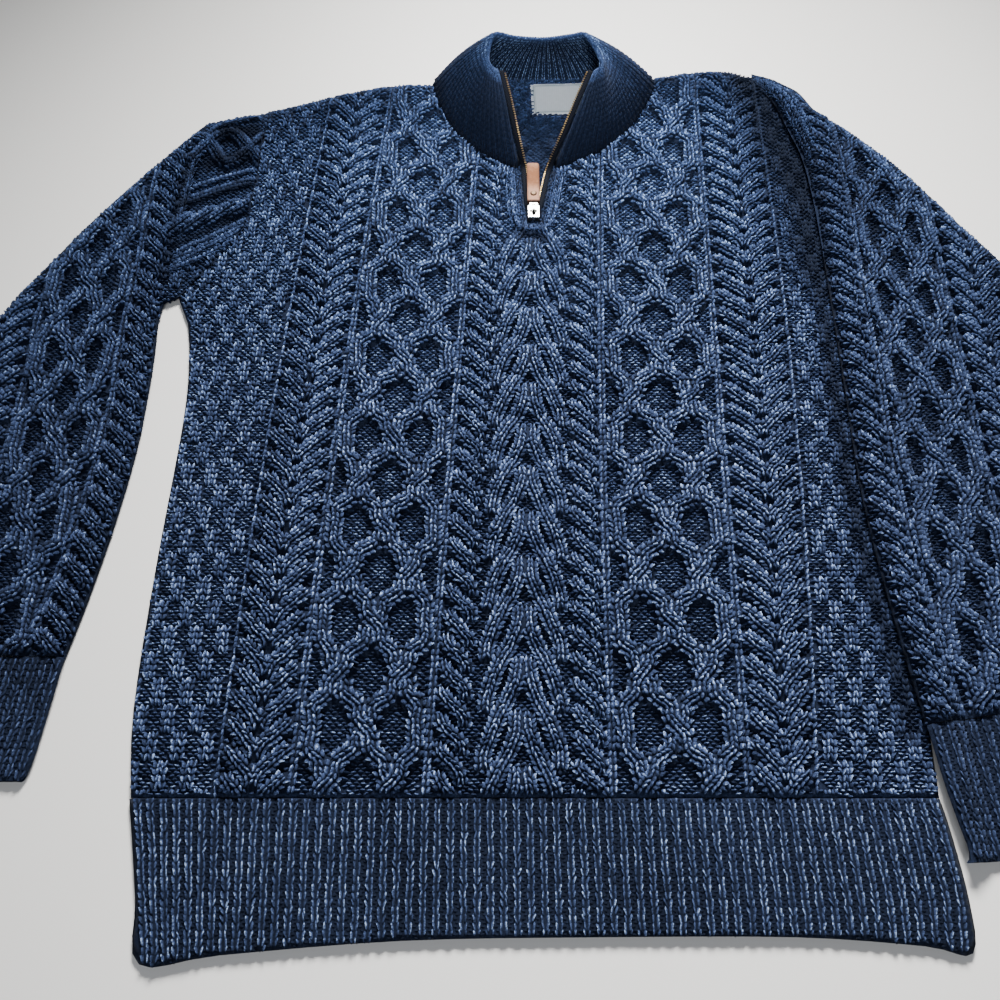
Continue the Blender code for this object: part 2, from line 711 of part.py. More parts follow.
def makeCollar():
    count = 2 * collarRibCount
    rings = []
    points = []
    for k, t in enumerate(evenShares(collarSeam, count)):
        ring = []
        for side in (1, -1):
            order = range(collarRows) if side > 0 else reversed(range(collarRows))
            for row in order:
                share = row / (collarRows - 1)
                point, along, out = collarFrame(t, share)
                raised = (k % 2 == 1) == (side > 0)
                rise = collarRibRise * (1 - 0.55 * share) if raised else 0.0
                ring.append(len(points))
                points.append(point + out * side * (collarWall / 2 + rise))
        rings.append(ring)
    faces = [tuple(rings[0]), tuple(rings[-1])]
    for a, b in zip(rings, rings[1:]):
        for i in range(len(a)):
            j = (i + 1) % len(a)
            faces.append((a[i], a[j], b[j]))
            faces.append((a[i], b[j], b[i]))
    addObject("collar", meshFrom("collar", [tuple(p) for p in points], faces), ribWool)


# Zip
def sweepStrip(name, stations, width, thick, look):
    # a flat strip through stations of (centre, direction across, direction of its thickness)
    points = []
    faces = []
    for centre, across, up in stations:
        for a, b in ((-1, -1), (1, -1), (1, 1), (-1, 1)):
            points.append(tuple(centre + across * a * width / 2 + up * b * thick / 2))
    last = len(points) - 4
    faces.append((0, 1, 2, 3))
    faces.append((last, last + 1, last + 2, last + 3))
    for k in range(0, last, 4):
        for i in range(4):
            j = (i + 1) % 4
            faces.append((k + i, k + j, k + 4 + j))
            faces.append((k + i, k + 4 + j, k + 4 + i))
    addObject(name, meshFrom(name, points, faces), look)


def makeZipTapes():
    for name, path, end, side in (("zip_tape_left", tapePathLeft, 0.0, 1),
                                  ("zip_tape_right", tapePathRight, len(collarSeam) - 1.0, -1)):
        stations = [(Vector((x, y, tapeLow + tapeThick / 2)), Vector((1, 0, 0)), Vector((0, 0, 1)))
                    for x, y in path]
        for share in (0.10, 1 / 3, 2 / 3, 1.0):
            point, along, out = collarFrame(end, share)
            rise = (collarRim[-1 if end else 0][0] - collarSeam[-1 if end else 0][0],
                    collarRim[0][1] - collarSeam[0][1], collarRim[0][2] - collarSeam[0][2])
            across = Vector(rise).cross(out).normalized()
            clear = tapeWidth / 2 + tapeEndGap + tapeFootGap * (1 - share) ** 2
            stations.append((point + across * side * clear, across, out))
        sweepStrip(name, stations, tapeWidth, tapeThick, tapeCloth)


def box(name, low, high):
    (ax, ay, az), (bx, by, bz) = low, high
    return prism(name, [(ax, ay), (bx, ay), (bx, by), (ax, by)], az, bz)


def addCutter(piece, mesh, operation):
    cutter = bpy.data.objects.new(piece.name + "_form", mesh)
    bpy.context.scene.collection.objects.link(cutter)
    cutter.location = piece.location
    cutter.hide_render = True
    cutter.display_type = "WIRE"
    cut = piece.modifiers.new(operation.lower(), "BOOLEAN")
    cut.operation = operation
    cut.object = cutter


def makeSlider():
    # two plates joined by a post between the tapes, and an arch on top for the pull
    half = sliderWidth / 2
    plateTop = sliderLow + sliderPlate
    slider = addObject("zip_slider", box("zip_slider", (-half, -sliderLength / 2, sliderLow),
                                         (half, sliderLength / 2, plateTop)), steel)
    slider.location = (zipCentreX, sliderY, 0.0)
    low = tapeLow - seamGap - underPlate
    addCutter(slider, box("under_plate", (-half + 0.0005, -sliderLength / 2 + 0.0008, low),
                          (half - 0.0005, sliderLength / 2 - 0.0008, low + underPlate)), "UNION")
    addCutter(slider, box("post", (-postWidth / 2, -0.001, low + underPlate / 2),
                          (postWidth / 2, postLength - 0.001, plateTop - sliderPlate / 2)), "UNION")
    side = archLength / 2
    hole = archOpening / 2
    top = plateTop + archRise
    low = plateTop - sliderPlate / 2
    outline = [(-side, low), (-side, top), (-side + 0.001, top + archBar), (side - 0.001, top + archBar),
               (side, top), (side, low), (hole, low), (hole, top), (-hole, top), (-hole, low)]
    points = [(x, y, z) for x in (-archWidth / 2, archWidth / 2) for y, z in outline]
    count = len(outline)
    faces = [tuple(range(count)), tuple(range(count, 2 * count))]
    faces += [(i, (i + 1) % count, (i + 1) % count + count, i + count) for i in range(count)]
    addCutter(slider, meshFrom("arch", points, faces), "UNION")


def makePull():
    # everything here is set out from the pivot, which is each piece's origin
    pivot = (zipCentreX, sliderY, pivotZ)
    half = linkWidth / 2
    tongue = tongueWidth / 2
    near = -linkThick / 2
    outline = [(-half, near), (half, near), (half, linkEnd), (tongue, linkEnd), (tongue, tongueEnd),
               (-tongue, tongueEnd), (-tongue, linkEnd), (-half, linkEnd)]
    link = addObject("pull_link", prism("pull_link", outline, -linkThick / 2, linkThick / 2), steel)
    link.location = pivot
    eye = box("eye", (-linkHole / 2, linkThick / 2, -0.002), (linkHole / 2, linkHoleEnd, 0.002))
    addCutter(link, eye, "DIFFERENCE")

    half = tabWidth / 2
    corner = 0.0022
    outline = [(-half, tabStart), (half, tabStart)]
    for centreX, first in ((half - corner, 0), (-half + corner, 90)):
        for k in range(5):
            angle = math.radians(first + 22.5 * k)
            outline.append((centreX + corner * math.cos(angle), tabEnd - corner + corner * math.sin(angle)))
    tab = addObject("pull_tab", prism("pull_tab", outline, -tabThick / 2, tabThick / 2), leather)
    tab.location = pivot
    pocket = linkThick / 2 + seamGap
    addCutter(tab, box("pocket", (-tongue - seamGap, tabStart - 0.001, -pocket),
                       (tongue + seamGap, tongueEnd + seamGap, pocket)), "DIFFERENCE")
    turns = [math.tau * k / 12 for k in range(12)]
    ring = [(0.0013 * math.cos(a), rivetAt + 0.0013 * math.sin(a)) for a in turns]
    addCutter(tab, prism("rivet_hole", ring, 0.0, tabThick), "DIFFERENCE")

    head = tabThick / 2 + seamGap
    points = []
    faces = []
    profile = ((rivetStem, pocket + 0.0002), (rivetStem, head), (rivetRadius, head),
               (rivetRadius, head + rivetHead * 0.5), (rivetRadius * 0.72, head + rivetHead))
    count = 16
    for radius, z in profile:
        for k in range(count):
            a = math.tau * k / count
            points.append((radius * math.cos(a), rivetAt + radius * math.sin(a), z))
    for row in range(len(profile) - 1):
        for k in range(count):
            m = (k + 1) % count
            faces.append((row * count + k, row * count + m, (row + 1) * count + m, (row + 1) * count + k))
    faces.append(tuple(range(count)))
    faces.append(tuple(range((len(profile) - 1) * count, len(profile) * count)))
    rivet = addObject("pull_rivet", meshFrom("pull_rivet", points, faces), steel)
    rivet.location = pivot


def makeLabel():
    x, y, z = labelSize
    label = addObject("neck_label", box("neck_label", (-x / 2, -y / 2, 0.0), (x / 2, y / 2, z)), labelCloth)
    label.location = (labelCentre[0], labelCentre[1], backWall + seamGap)
    label.rotation_euler[2] = labelTurn


makeBack()
makeFront()
makeHem()
makeSleeves()
makeCuffs()
makeCollar()
makeZipTapes()
makeSlider()
makePull()
makeLabel()
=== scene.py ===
import json
import math

import bpy
import numpy as np
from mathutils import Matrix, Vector, geometry

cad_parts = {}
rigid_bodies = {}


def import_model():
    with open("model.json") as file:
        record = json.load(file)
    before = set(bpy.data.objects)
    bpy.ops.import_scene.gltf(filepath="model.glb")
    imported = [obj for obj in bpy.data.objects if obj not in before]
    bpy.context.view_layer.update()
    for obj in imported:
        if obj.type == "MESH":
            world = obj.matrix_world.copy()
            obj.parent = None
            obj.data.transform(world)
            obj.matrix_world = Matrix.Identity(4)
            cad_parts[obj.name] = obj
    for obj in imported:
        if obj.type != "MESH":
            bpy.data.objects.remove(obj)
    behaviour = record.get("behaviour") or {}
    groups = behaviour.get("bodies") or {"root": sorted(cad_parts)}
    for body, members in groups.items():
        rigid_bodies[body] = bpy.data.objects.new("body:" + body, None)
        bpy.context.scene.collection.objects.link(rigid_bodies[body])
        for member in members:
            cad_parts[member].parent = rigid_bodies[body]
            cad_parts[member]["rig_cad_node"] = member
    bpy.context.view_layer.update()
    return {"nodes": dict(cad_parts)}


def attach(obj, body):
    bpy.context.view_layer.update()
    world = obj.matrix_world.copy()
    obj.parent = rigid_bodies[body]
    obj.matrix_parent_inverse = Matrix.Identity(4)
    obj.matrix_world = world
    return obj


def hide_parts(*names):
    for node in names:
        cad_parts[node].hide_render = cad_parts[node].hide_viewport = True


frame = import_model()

dice = np.random.default_rng(11)

# Everything is in metres. The sweater lies on its back, neck towards +Y.


# Camera, floor and light
view = {
    "place": (-0.020, -0.405, 0.6624),
    "tilt": 27.0,            # degrees from straight down
    "lens": 36.0,
}
room = {
    "floor": (0.74, 0.73, 0.71),
    "sky": (0.80, 0.86, 0.95),
    "skyPower": 0.10,
    "lamps": (
        # place, aim, size, power, spread in degrees, colour
        ((0.14, 1.22, 1.16), (0.10, -0.13, 0.0), 0.50, 15.0, 60.0, (1.0, 0.99, 0.97)),
        ((0.02, -0.30, 0.95), (0.02, 0.345, 0.04), 0.14, 0.30, 26.0, (0.97, 0.98, 1.0)),
        ((-0.2, -1.4, 1.7), (0.05, 0.05, 0.0), 1.2, 17.0, 180.0, (0.92, 0.95, 1.0)),
    ),
}


def setCamera():
    lens = bpy.data.cameras.new("photo_view")
    lens.lens = view["lens"]
    lens.sensor_width = 36.0
    lens.clip_start = 0.05
    camera = bpy.data.objects.new("photo_view", lens)
    camera.location = view["place"]
    camera.rotation_euler = (math.radians(view["tilt"]), 0.0, 0.0)
    bpy.context.scene.collection.objects.link(camera)
    bpy.context.scene.camera = camera


def setLight():
    for number, (place, aim, size, power, opening, colour) in enumerate(room["lamps"]):
        lamp = bpy.data.lights.new("softbox_%d" % number, "AREA")
        lamp.size = size
        lamp.energy = power
        lamp.spread = math.radians(opening)
        lamp.color = colour
        holder = bpy.data.objects.new(lamp.name, lamp)
        holder.location = place
        holder.rotation_euler = (Vector(aim) - Vector(place)).to_track_quat("-Z", "Y").to_euler()
        bpy.context.scene.collection.objects.link(holder)
    sky = bpy.data.worlds.new("studio")
    sky.use_nodes = True
    backdrop = sky.node_tree.nodes["Background"]
    backdrop.inputs["Color"].default_value = (*room["sky"], 1.0)
    backdrop.inputs["Strength"].default_value = room["skyPower"]
    bpy.context.scene.world = sky


# Shader maths: a socket that can be added, multiplied and compared
class Wire:
    def __init__(self, finish, socket):
        self.finish = finish
        self.socket = socket

    def sum(self, operation, first, second=None):
        inputs = {0: first} if second is None else {0: first, 1: second}
        return self.finish.node("ShaderNodeMath", {"operation": operation}, inputs)

    def __add__(self, other):
        return self.sum("ADD", self, other)

    def __sub__(self, other):
        return self.sum("SUBTRACT", self, other)

    def __rsub__(self, other):
        return self.sum("SUBTRACT", other, self)

    def __mul__(self, other):
        return self.sum("MULTIPLY", self, other)

    def __truediv__(self, other):
        return self.sum("DIVIDE", self, other)

    def __pow__(self, other):
        return self.sum("POWER", self, other)

    def __gt__(self, other):
        return self.sum("GREATER_THAN", self, other)

    def __lt__(self, other):
        return self.sum("LESS_THAN", self, other)

    def __abs__(self):
        return self.sum("ABSOLUTE", self)

    def sine(self):
        return self.sum("SINE", self)

    __radd__ = __add__
    __rmul__ = __mul__

    def held(self):
        # kept between 0 and 1
        made = self * 1.0
        made.socket.node.use_clamp = True
        return made


class Finish:
    def __init__(self, name):
        self.material = bpy.data.materials.new(name)
        self.material.use_nodes = True
        self.tree = self.material.node_tree
        self.shader = self.tree.nodes["Principled BSDF"]

    def node(self, kind, settings=None, inputs=None, output=0):
        # settings come first, because they decide which sockets there are
        made = self.tree.nodes.new(kind)
        for name, value in (settings or {}).items():
            if name == "stops":
                ramp = made.color_ramp
                while len(ramp.elements) < len(value):
                    ramp.elements.new(0.5)
                for element, (place, colour) in zip(ramp.elements, value):
                    element.position = place
                    element.color = (*colour, 1.0)
            else:
                setattr(made, name, value)
        for name, value in (inputs or {}).items():
            self.plug(made.inputs[name], value)
        return Wire(self, made.outputs[output])

    def plug(self, socket, value):
        if isinstance(value, Wire):
            self.tree.links.new(value.socket, socket)
        elif isinstance(value, tuple) and len(value) == 3 and socket.type == "RGBA":
            socket.default_value = (*value, 1.0)
        else:
            socket.default_value = value

    def set(self, **inputs):
        for name, value in inputs.items():
            self.plug(self.shader.inputs[name.replace("_", " ")], value)

    def where(self):
        return self.node("ShaderNodeTexCoord", output="Object")

    def axes(self):
        return [self.node("ShaderNodeSeparateXYZ", {}, {"Vector": self.where()}, output=k) for k in range(3)]

    def kept(self, name):
        # a number that the mesh carries at each point
        return self.node("ShaderNodeAttribute", {"attribute_name": name}, output="Fac")

    def noise(self, scale, detail=2.0, rough=0.5):
        return self.node("ShaderNodeTexNoise", {}, {"Vector": self.where(), "Scale": scale, "Detail": detail,
                                                    "Roughness": rough})

    def blend(self, share, first, second, kind="MIX"):
        inputs = {"Factor": share, "A": first, "B": second}
        made = self.tree.nodes.new("ShaderNodeMix")
        made.data_type = "RGBA"
        made.blend_type = kind
        for name, value in inputs.items():
            socket = [s for s in made.inputs if s.name == name and (s.type == "RGBA" or name == "Factor")][0]
            self.plug(socket, value)
        return Wire(self, [s for s in made.outputs if s.type == "RGBA"][0])

    def bump(self, height, strength, distance):
        self.set(Normal=self.node("ShaderNodeBump", {}, {"Height": height, "Strength": strength,
                                                        "Distance": distance}, output="Normal"))


yarn = {
    "deep": (0.0040, 0.0065, 0.0150),
    "mid": (0.050, 0.076, 0.170),
    "pale": (0.360, 0.490, 0.760),
    "stops": {"deep": 0.0, "mid": 0.45, "pale": 1.0},
    "topTint": (0.80, 0.92, 1.0),     # the yarn is bluer towards the neck
    "topFrom": -0.05,
    "topOver": 0.40,
    "fleckSize": 640.0,
    "fleckAmount": 3.1,
    "fibreSize": 2300.0,
    "dyeSize": 9.0,
    "sheen": 0.02,
    "shine": 0.06,
}


def shade(colour, amount):
    return tuple(c * amount for c in colour)


def woolFinish(name, darker):
    # melange yarn: every stitch has its own share of dark and pale fibre; the tone it carries also holds
    # painted shade from hollows and folds and a painted highlight along each stitch's crown
    finish = Finish(name)
    tone = finish.kept("tone")
    fleck = finish.noise(yarn["fleckSize"], 3.0, 0.7)
    dye = finish.noise(yarn["dyeSize"], 2.0)
    share = (tone * ((fleck - 0.5) * yarn["fleckAmount"] + 0.72) + dye * 0.10 - 0.06).held()
    stops = [(at, shade(yarn[part], darker)) for part, at in yarn["stops"].items()]
    colour = finish.node("ShaderNodeValToRGB", {"stops": stops}, {"Fac": share})
    x, y, z = finish.axes()
    towardsNeck = ((y - yarn["topFrom"]) / yarn["topOver"]).held()
    colour = finish.blend(towardsNeck, colour, yarn["topTint"], "MULTIPLY")
    finish.set(Base_Color=colour, Roughness=0.80 + fleck * 0.15, Sheen_Weight=yarn["sheen"],
               Sheen_Roughness=0.5,
               Specular_IOR_Level=yarn["shine"])
    finish.bump(finish.noise(yarn["fibreSize"], 3.0, 0.6), 0.5, 0.0004)
    return finish.material


# Curves and outlines
def smoothRun(points, steps):
    # a soft curve that keeps its points
    p = np.array(points, float)
    pad = np.vstack([p[:1], p, p[-1:]])
    t = (np.arange(steps) / steps)[None, :, None]
    p0, p1, p2, p3 = (pad[i:len(pad) - 3 + i][:, None, :] for i in range(4))
    run = (2 * p1 + (p2 - p0) * t + (2 * p0 - 5 * p1 + 4 * p2 - p3) * t ** 2
           + (3 * p1 - p0 - 3 * p2 + p3) * t ** 3) / 2
    return np.vstack([run.reshape(-1, p.shape[1]), p[-1:]])


def distanceTo(run, x, y):
    best = np.full(np.shape(x), 1.0)
    for (ax, ay), (bx, by) in zip(run, run[1:]):
        dx, dy = bx - ax, by - ay
        t = np.clip(((x - ax) * dx + (y - ay) * dy) / max(dx * dx + dy * dy, 1e-12), 0.0, 1.0)
        best = np.minimum(best, np.hypot(x - ax - t * dx, y - ay - t * dy))
    return best


def nearest(runs, x, y):
    # the distance to the nearer of two runs
    return np.minimum(*(distanceTo(run, x, y) for run in runs))


def closed(outline):
    return np.vstack([outline, outline[:1]])


def inside(outline, x, y):
    odd = np.zeros(np.shape(x), bool)
    ring = closed(outline)
    for (ax, ay), (bx, by) in zip(ring, ring[1:]):
        if ay != by:
            odd ^= ((ay > y) != (by > y)) & (x < (bx - ax) * (y - ay) / (by - ay) + ax)
    return odd


def evenSteps(outline, step):
    # the outline cut into equal steps that keep its corners
    ring = closed(outline)
    made = []
    for a, b in zip(ring, ring[1:]):
        count = max(1, int(round(np.hypot(*(b - a)) / step)))
        made += [a + (b - a) * k / count for k in range(count)]
    return np.array(made)


def softStep(t):
    t = np.clip(t, 0.0, 1.0)
    return t * t * (3 - 2 * t)


def fading(distance, reach):
    # 1 on the line and 0 from the reach on
    return np.clip(1 - distance / reach, 0.0, 1.0)


def around(field, cells=1):
    # each place's four neighbours
    return [np.roll(field, way, axis) for axis in (0, 1) for way in (cells, -cells)]


def spread(field, cells):
    # the mean of the places around each place
    for axis in (0, 1):
        for _ in range(2):
            total = np.cumsum(field, axis)
            count = field.shape[axis]
            ahead = np.minimum(np.arange(count) + cells, count - 1)
            behind = np.maximum(np.arange(count) - cells, 0)
            size = (ahead - behind).reshape((-1, 1) if axis == 0 else (1, -1))
            field = (np.take(total, ahead, axis) - np.take(total, behind, axis)) / size
    return field


def roll(distance, radius):
    # 1 at an edge and 0 a radius in from it, as the edge of a thick cloth rolls over
    return 1 - np.sqrt(np.maximum(0.0, 1 - (1 - np.clip(distance / radius, 0.0, 1.0)) ** 2))


def loop(*runs):
    return np.vstack([np.array(run, float) for run in runs])


# Plan of the pieces, each run as x, y
leftSide = ((-0.257, -0.284), (-0.265, -0.225), (-0.266, -0.120), (-0.264, 0.000), (-0.268, 0.060),
            (-0.275, 0.098))
leftArmhole = ((-0.285, 0.1175), (-0.262, 0.150), (-0.244, 0.182), (-0.236, 0.215), (-0.234, 0.331))
leftShoulder = ((-0.234, 0.331), (-0.193, 0.343), (-0.159, 0.353), (-0.113, 0.364), (-0.078, 0.3655))
leftNeck = ((-0.0765, 0.355), (-0.0590, 0.310), (-0.0370, 0.2845), (-0.0160, 0.2690), (-0.0022, 0.2645))
zipSlot = ((-0.0020, 0.2570), (0.0007, 0.2220), (0.0023, 0.2100), (0.0031, 0.1975), (0.0149, 0.1975),
           (0.0157, 0.2100), (0.0189, 0.2220), (0.0221, 0.2390), (0.0259, 0.2570))
rightNeck = ((0.0275, 0.2645), (0.0380, 0.2680), (0.0680, 0.2845), (0.0940, 0.3110), (0.1120, 0.3420),
             (0.1195, 0.3600))
rightShoulder = ((0.119, 0.372), (0.135, 0.374), (0.170, 0.3755), (0.208, 0.376), (0.236, 0.366),
                 (0.250, 0.348))
rightSide = ((0.262, 0.320), (0.266, 0.200), (0.272, 0.115), (0.270, 0.000), (0.268, -0.150), (0.262, -0.284))
backNeck = ((-0.076, 0.3655), (-0.050, 0.3790), (0.020, 0.3805), (0.095, 0.3800), (0.119, 0.3760))
hemRun = ((-0.258, -0.2845), (-0.253, -0.305), (-0.244, -0.345), (-0.236, -0.381), (-0.189, -0.376),
          (-0.080, -0.368), (0.040, -0.366), (0.160, -0.366), (0.237, -0.371), (0.264, -0.375),
          (0.268, -0.345), (0.265, -0.305), (0.262, -0.2845))
leftSleeveOuter = ((-0.235, 0.331), (-0.258, 0.326), (-0.280, 0.319), (-0.292, 0.312), (-0.326, 0.267),
                   (-0.373, 0.198), (-0.398, 0.154), (-0.424, 0.105), (-0.440, 0.060), (-0.4465, 0.010),
                   (-0.4460, -0.045), (-0.4380, -0.105), (-0.4220, -0.160), (-0.4130, -0.190))
leftSleeveInner = ((-0.3175, -0.190), (-0.3100, -0.150), (-0.3010, -0.088), (-0.2950, -0.020),
                   (-0.2950, 0.050), (-0.2975, 0.092), (-0.2960, 0.111))
rightSleeveInner = ((0.2595, -0.2385), (0.2550, -0.200), (0.2480, -0.125), (0.2450, -0.060), (0.2470, 0.020),
                    (0.2490, 0.110), (0.2530, 0.220), (0.2530, 0.320))
rightSleeveOuter = ((0.2560, 0.345), (0.2630, 0.340), (0.2900, 0.315), (0.3340, 0.264), (0.3760, 0.196),
                    (0.4000, 0.158), (0.4210, 0.110), (0.4350, 0.055), (0.4410, 0.000), (0.4390, -0.060),
                    (0.4270, -0.120), (0.4030, -0.180), (0.3790, -0.2185))
leftCuffRun = ((-0.4130, -0.1905), (-0.4175, -0.230), (-0.4180, -0.268), (-0.4100, -0.2735),
               (-0.3420, -0.2735),
               (-0.3270, -0.2700), (-0.3220, -0.240), (-0.3175, -0.1905))
rightCuffRun = ((0.2595, -0.2390), (0.2640, -0.280), (0.2710, -0.3180), (0.2760, -0.3240), (0.3600, -0.3130),
                (0.3740, -0.3060), (0.3790, -0.2600), (0.3790, -0.2190))

# Where the double ridges stand on the front, at three heights
ridgeHeights = (-0.275, 0.072, 0.300)
ridgeLines = {
    "ridgeOuterLeft": (-0.2030, -0.1930, -0.1790),
    "ridgeMiddleLeft": (-0.1540, -0.1400, -0.1240),
    "ridgeInnerLeft": (-0.0680, -0.0520, -0.0400),
    "centre": (-0.0060, 0.0040, 0.0130),
    "ridgeInnerRight": (0.0530, 0.0610, 0.0710),
    "ridgeMiddleRight": (0.1400, 0.1520, 0.1590),
    "ridgeOuterRight": (0.1840, 0.2110, 0.2160),
}


def ridgeX(name):
    low, middle, high = ridgeLines[name]
    curve = np.polyfit(ridgeHeights, (low, middle, high), 2)
    return lambda y: np.polyval(curve, y)


# Painted shade: how much darker the stitches are painted down in the hollows
hollow = {
    "reach": 0.0070,         # how far round a place its surroundings count
    "depth": 0.0028,         # a hollow this deep gets the full shade
    "shade": 0.70,
    "steepest": 1.3,
}


# A sheet of knitting seen in plan, with its relief kept on a fine grid
class Sheet:
    def __init__(self, low, high, step=0.0008):
        self.low = low
        self.step = step
        self.shape = tuple(int((b - a) / step) + 2 for a, b in zip(low, high))
        self.x, self.y = np.meshgrid(*(a + step * np.arange(n) for a, n in zip(low, self.shape)))
        self.relief = np.zeros_like(self.x)
        self.owner = np.zeros(self.x.shape, int)

    def read(self, field, x, y):
        u = np.clip((np.asarray(x) - self.low[0]) / self.step, 0, self.shape[0] - 1.001)
        v = np.clip((np.asarray(y) - self.low[1]) / self.step, 0, self.shape[1] - 1.001)
        i, j = u.astype(int), v.astype(int)
        u, v = u - i, v - j
        return ((field[j, i] * (1 - u) + field[j, i + 1] * u) * (1 - v)
                + (field[j + 1, i] * (1 - u) + field[j + 1, i + 1] * u) * v)

    def near(self, low, high):
        # the part of the grid in a window
        i0, j0 = (max(0, int((a - b) / self.step)) for a, b in zip(low, self.low))
        i1, j1 = (min(n, int((a - b) / self.step) + 2) for a, b, n in zip(high, self.low, self.shape))
        return slice(j0, max(j0, j1)), slice(i0, max(i0, i1))

    def lift(self, window, value, owner=0):
        higher = value > self.relief[window]
        self.relief[window] = np.where(higher, value, self.relief[window])
        self.owner[window] = np.where(higher, owner, self.owner[window])

    def ownedBy(self, owner, x, y):
        i = np.clip(np.rint((x - self.low[0]) / self.step).astype(int), 0, self.shape[0] - 1)
        j = np.clip(np.rint((y - self.low[1]) / self.step).astype(int), 0, self.shape[1] - 1)
        return self.owner[j, i] == owner

    def settle(self, height, facing=1.0):
        # the finished surface, the way it faces, and how much light comes to each place:
        # 1 on the raised bands and less down in the hollows
        self.height = height
        soft = height
        for _ in range(2):
            soft = sum(around(soft), soft) / 5
        level = spread(height, int(hollow["reach"] / self.step))
        self.lit = 1 - hollow["shade"] * softStep((level - height) * facing / hollow["depth"])
        slopes = [np.clip(slope, -hollow["steepest"], hollow["steepest"]) for slope in np.gradient(soft,
                                                                                                   self.step)]
        size = np.sqrt(slopes[1] ** 2 + slopes[0] ** 2 + 1)
        self.normal = [facing * -slopes[1] / size, facing * -slopes[0] / size, facing / size]

    def litAt(self, x, y):
        return self.read(self.lit, x, y)

    def shadow(self, run, reach, amount):
        # a fold that lies in its own shade
        self.lit = self.lit * (1 - amount * np.exp(-(distanceTo(run, self.x, self.y) / reach) ** 2))

    def hidden(self, height, cells):
        # the cloth under the stitches keeps below all of them
        low = height
        for _ in range(cells):
            low = np.minimum.reduce([low] + around(low))
        return low

    def at(self, x, y, lift):
        nx, ny, nz = (self.read(part, x, y) for part in self.normal)
        return np.stack([x + nx * lift, y + ny * lift, self.read(self.height, x, y) + nz * lift], -1)


class Strand:
    # a raised band of stitches along a path that runs up the piece
    count = 0

    def __init__(self, points, half=0.0058, rise=0.0054, steps=3, endDip=0.006, under=(), wales=0.0027):
        # wales is half the distance between the strand's two columns of stitches, or 0 for a single one
        Strand.count += 1
        self.number = Strand.count
        self.path = smoothRun(np.array(points) + dice.normal(0, gauge["strandJitter"], (len(points), 2)),
                              steps)
        across, up = np.abs(self.path[-1] - self.path[0])
        if up > across * 0.5 and self.path[0, 1] > self.path[-1, 1]:
            self.path = self.path[::-1]
        self.half = half
        self.rise = rise
        self.wales = (-wales, wales) if wales else (0.0,)
        self.legOut = wales / 2 if wales else gauge["legOut"]
        lengths = np.hypot(*np.diff(self.path, axis=0).T)
        self.reach = np.concatenate([[0.0], np.cumsum(lengths)])
        self.lift = softStep(np.minimum(self.reach, self.reach[-1] - self.reach) / endDip)
        for place in under:
            # where it passes under another strand
            self.lift *= 1 - 0.62 * np.exp(-((self.path[:, 1] - place) / 0.0065) ** 2)

    def profile(self, out):
        # how round the strand is across its width
        return np.maximum(0.0, 1 - np.abs(out / self.half) ** 2.6) ** 0.45

    def stamp(self, sheet):
        for a, b, liftA, liftB in zip(self.path, self.path[1:], self.lift, self.lift[1:]):
            window = sheet.near(np.minimum(a, b) - self.half, np.maximum(a, b) + self.half)
            x, y = sheet.x[window], sheet.y[window]
            if not x.size:
                continue
            dx, dy = b - a
            t = np.clip(((x - a[0]) * dx + (y - a[1]) * dy) / (dx * dx + dy * dy), 0.0, 1.0)
            out = np.hypot(x - a[0] - t * dx, y - a[1] - t * dy)
            sheet.lift(window, self.rise * (liftA + (liftB - liftA) * t) * self.profile(out), self.number)

    def along(self, s):
        return [np.interp(s, self.reach, self.path[:, k]) for k in (0, 1)]

    def knit(self, sheet, store):
        count = int(self.reach[-1] / gauge["cableRow"])
        s = (np.arange(count) + 0.5) * self.reach[-1] / max(count, 1)
        x, y = self.along(s)
        tx, ty = (ahead - behind for ahead, behind in zip(self.along(s + 0.0015), self.along(s - 0.0015)))
        size = np.hypot(tx, ty)
        tx, ty = tx / size, ty / size
        lift = np.interp(s, self.reach, self.lift)
        for wale in self.wales:
            for side in (-1, 1):
                out = wale + side * self.legOut
                own = self.rise * lift * self.profile(out)
                px, py = x - ty * out, y + tx * out
                seen = (own > sheet.read(sheet.relief, px, py) - 0.0005) | sheet.ownedBy(self.number, px, py)
                seen &= lift > 0.12
                store.leg(px[seen], py[seen], tx[seen], ty[seen], side, gauge["cableRow"] * 1.46,
                          self.legOut * 1.70, gauge["cableHigh"], tilt=gauge["cableTilt"])


gauge = {
    "row": 0.0046,
    "cableRow": 0.0037,
    "wale": 0.0046,
    "legOut": 0.00118,
    "legTilt": 15.0,
    "cableTilt": 15.0,
    "cablePitch": 0.0184,
    "plaitPitch": 0.0368,
    "latticeStep": 0.0368,
    "blockWide": 0.0093,
    "ridgeApart": 0.0017,
    "cableHigh": 0.0018,
    "strandJitter": 0.00035,
}


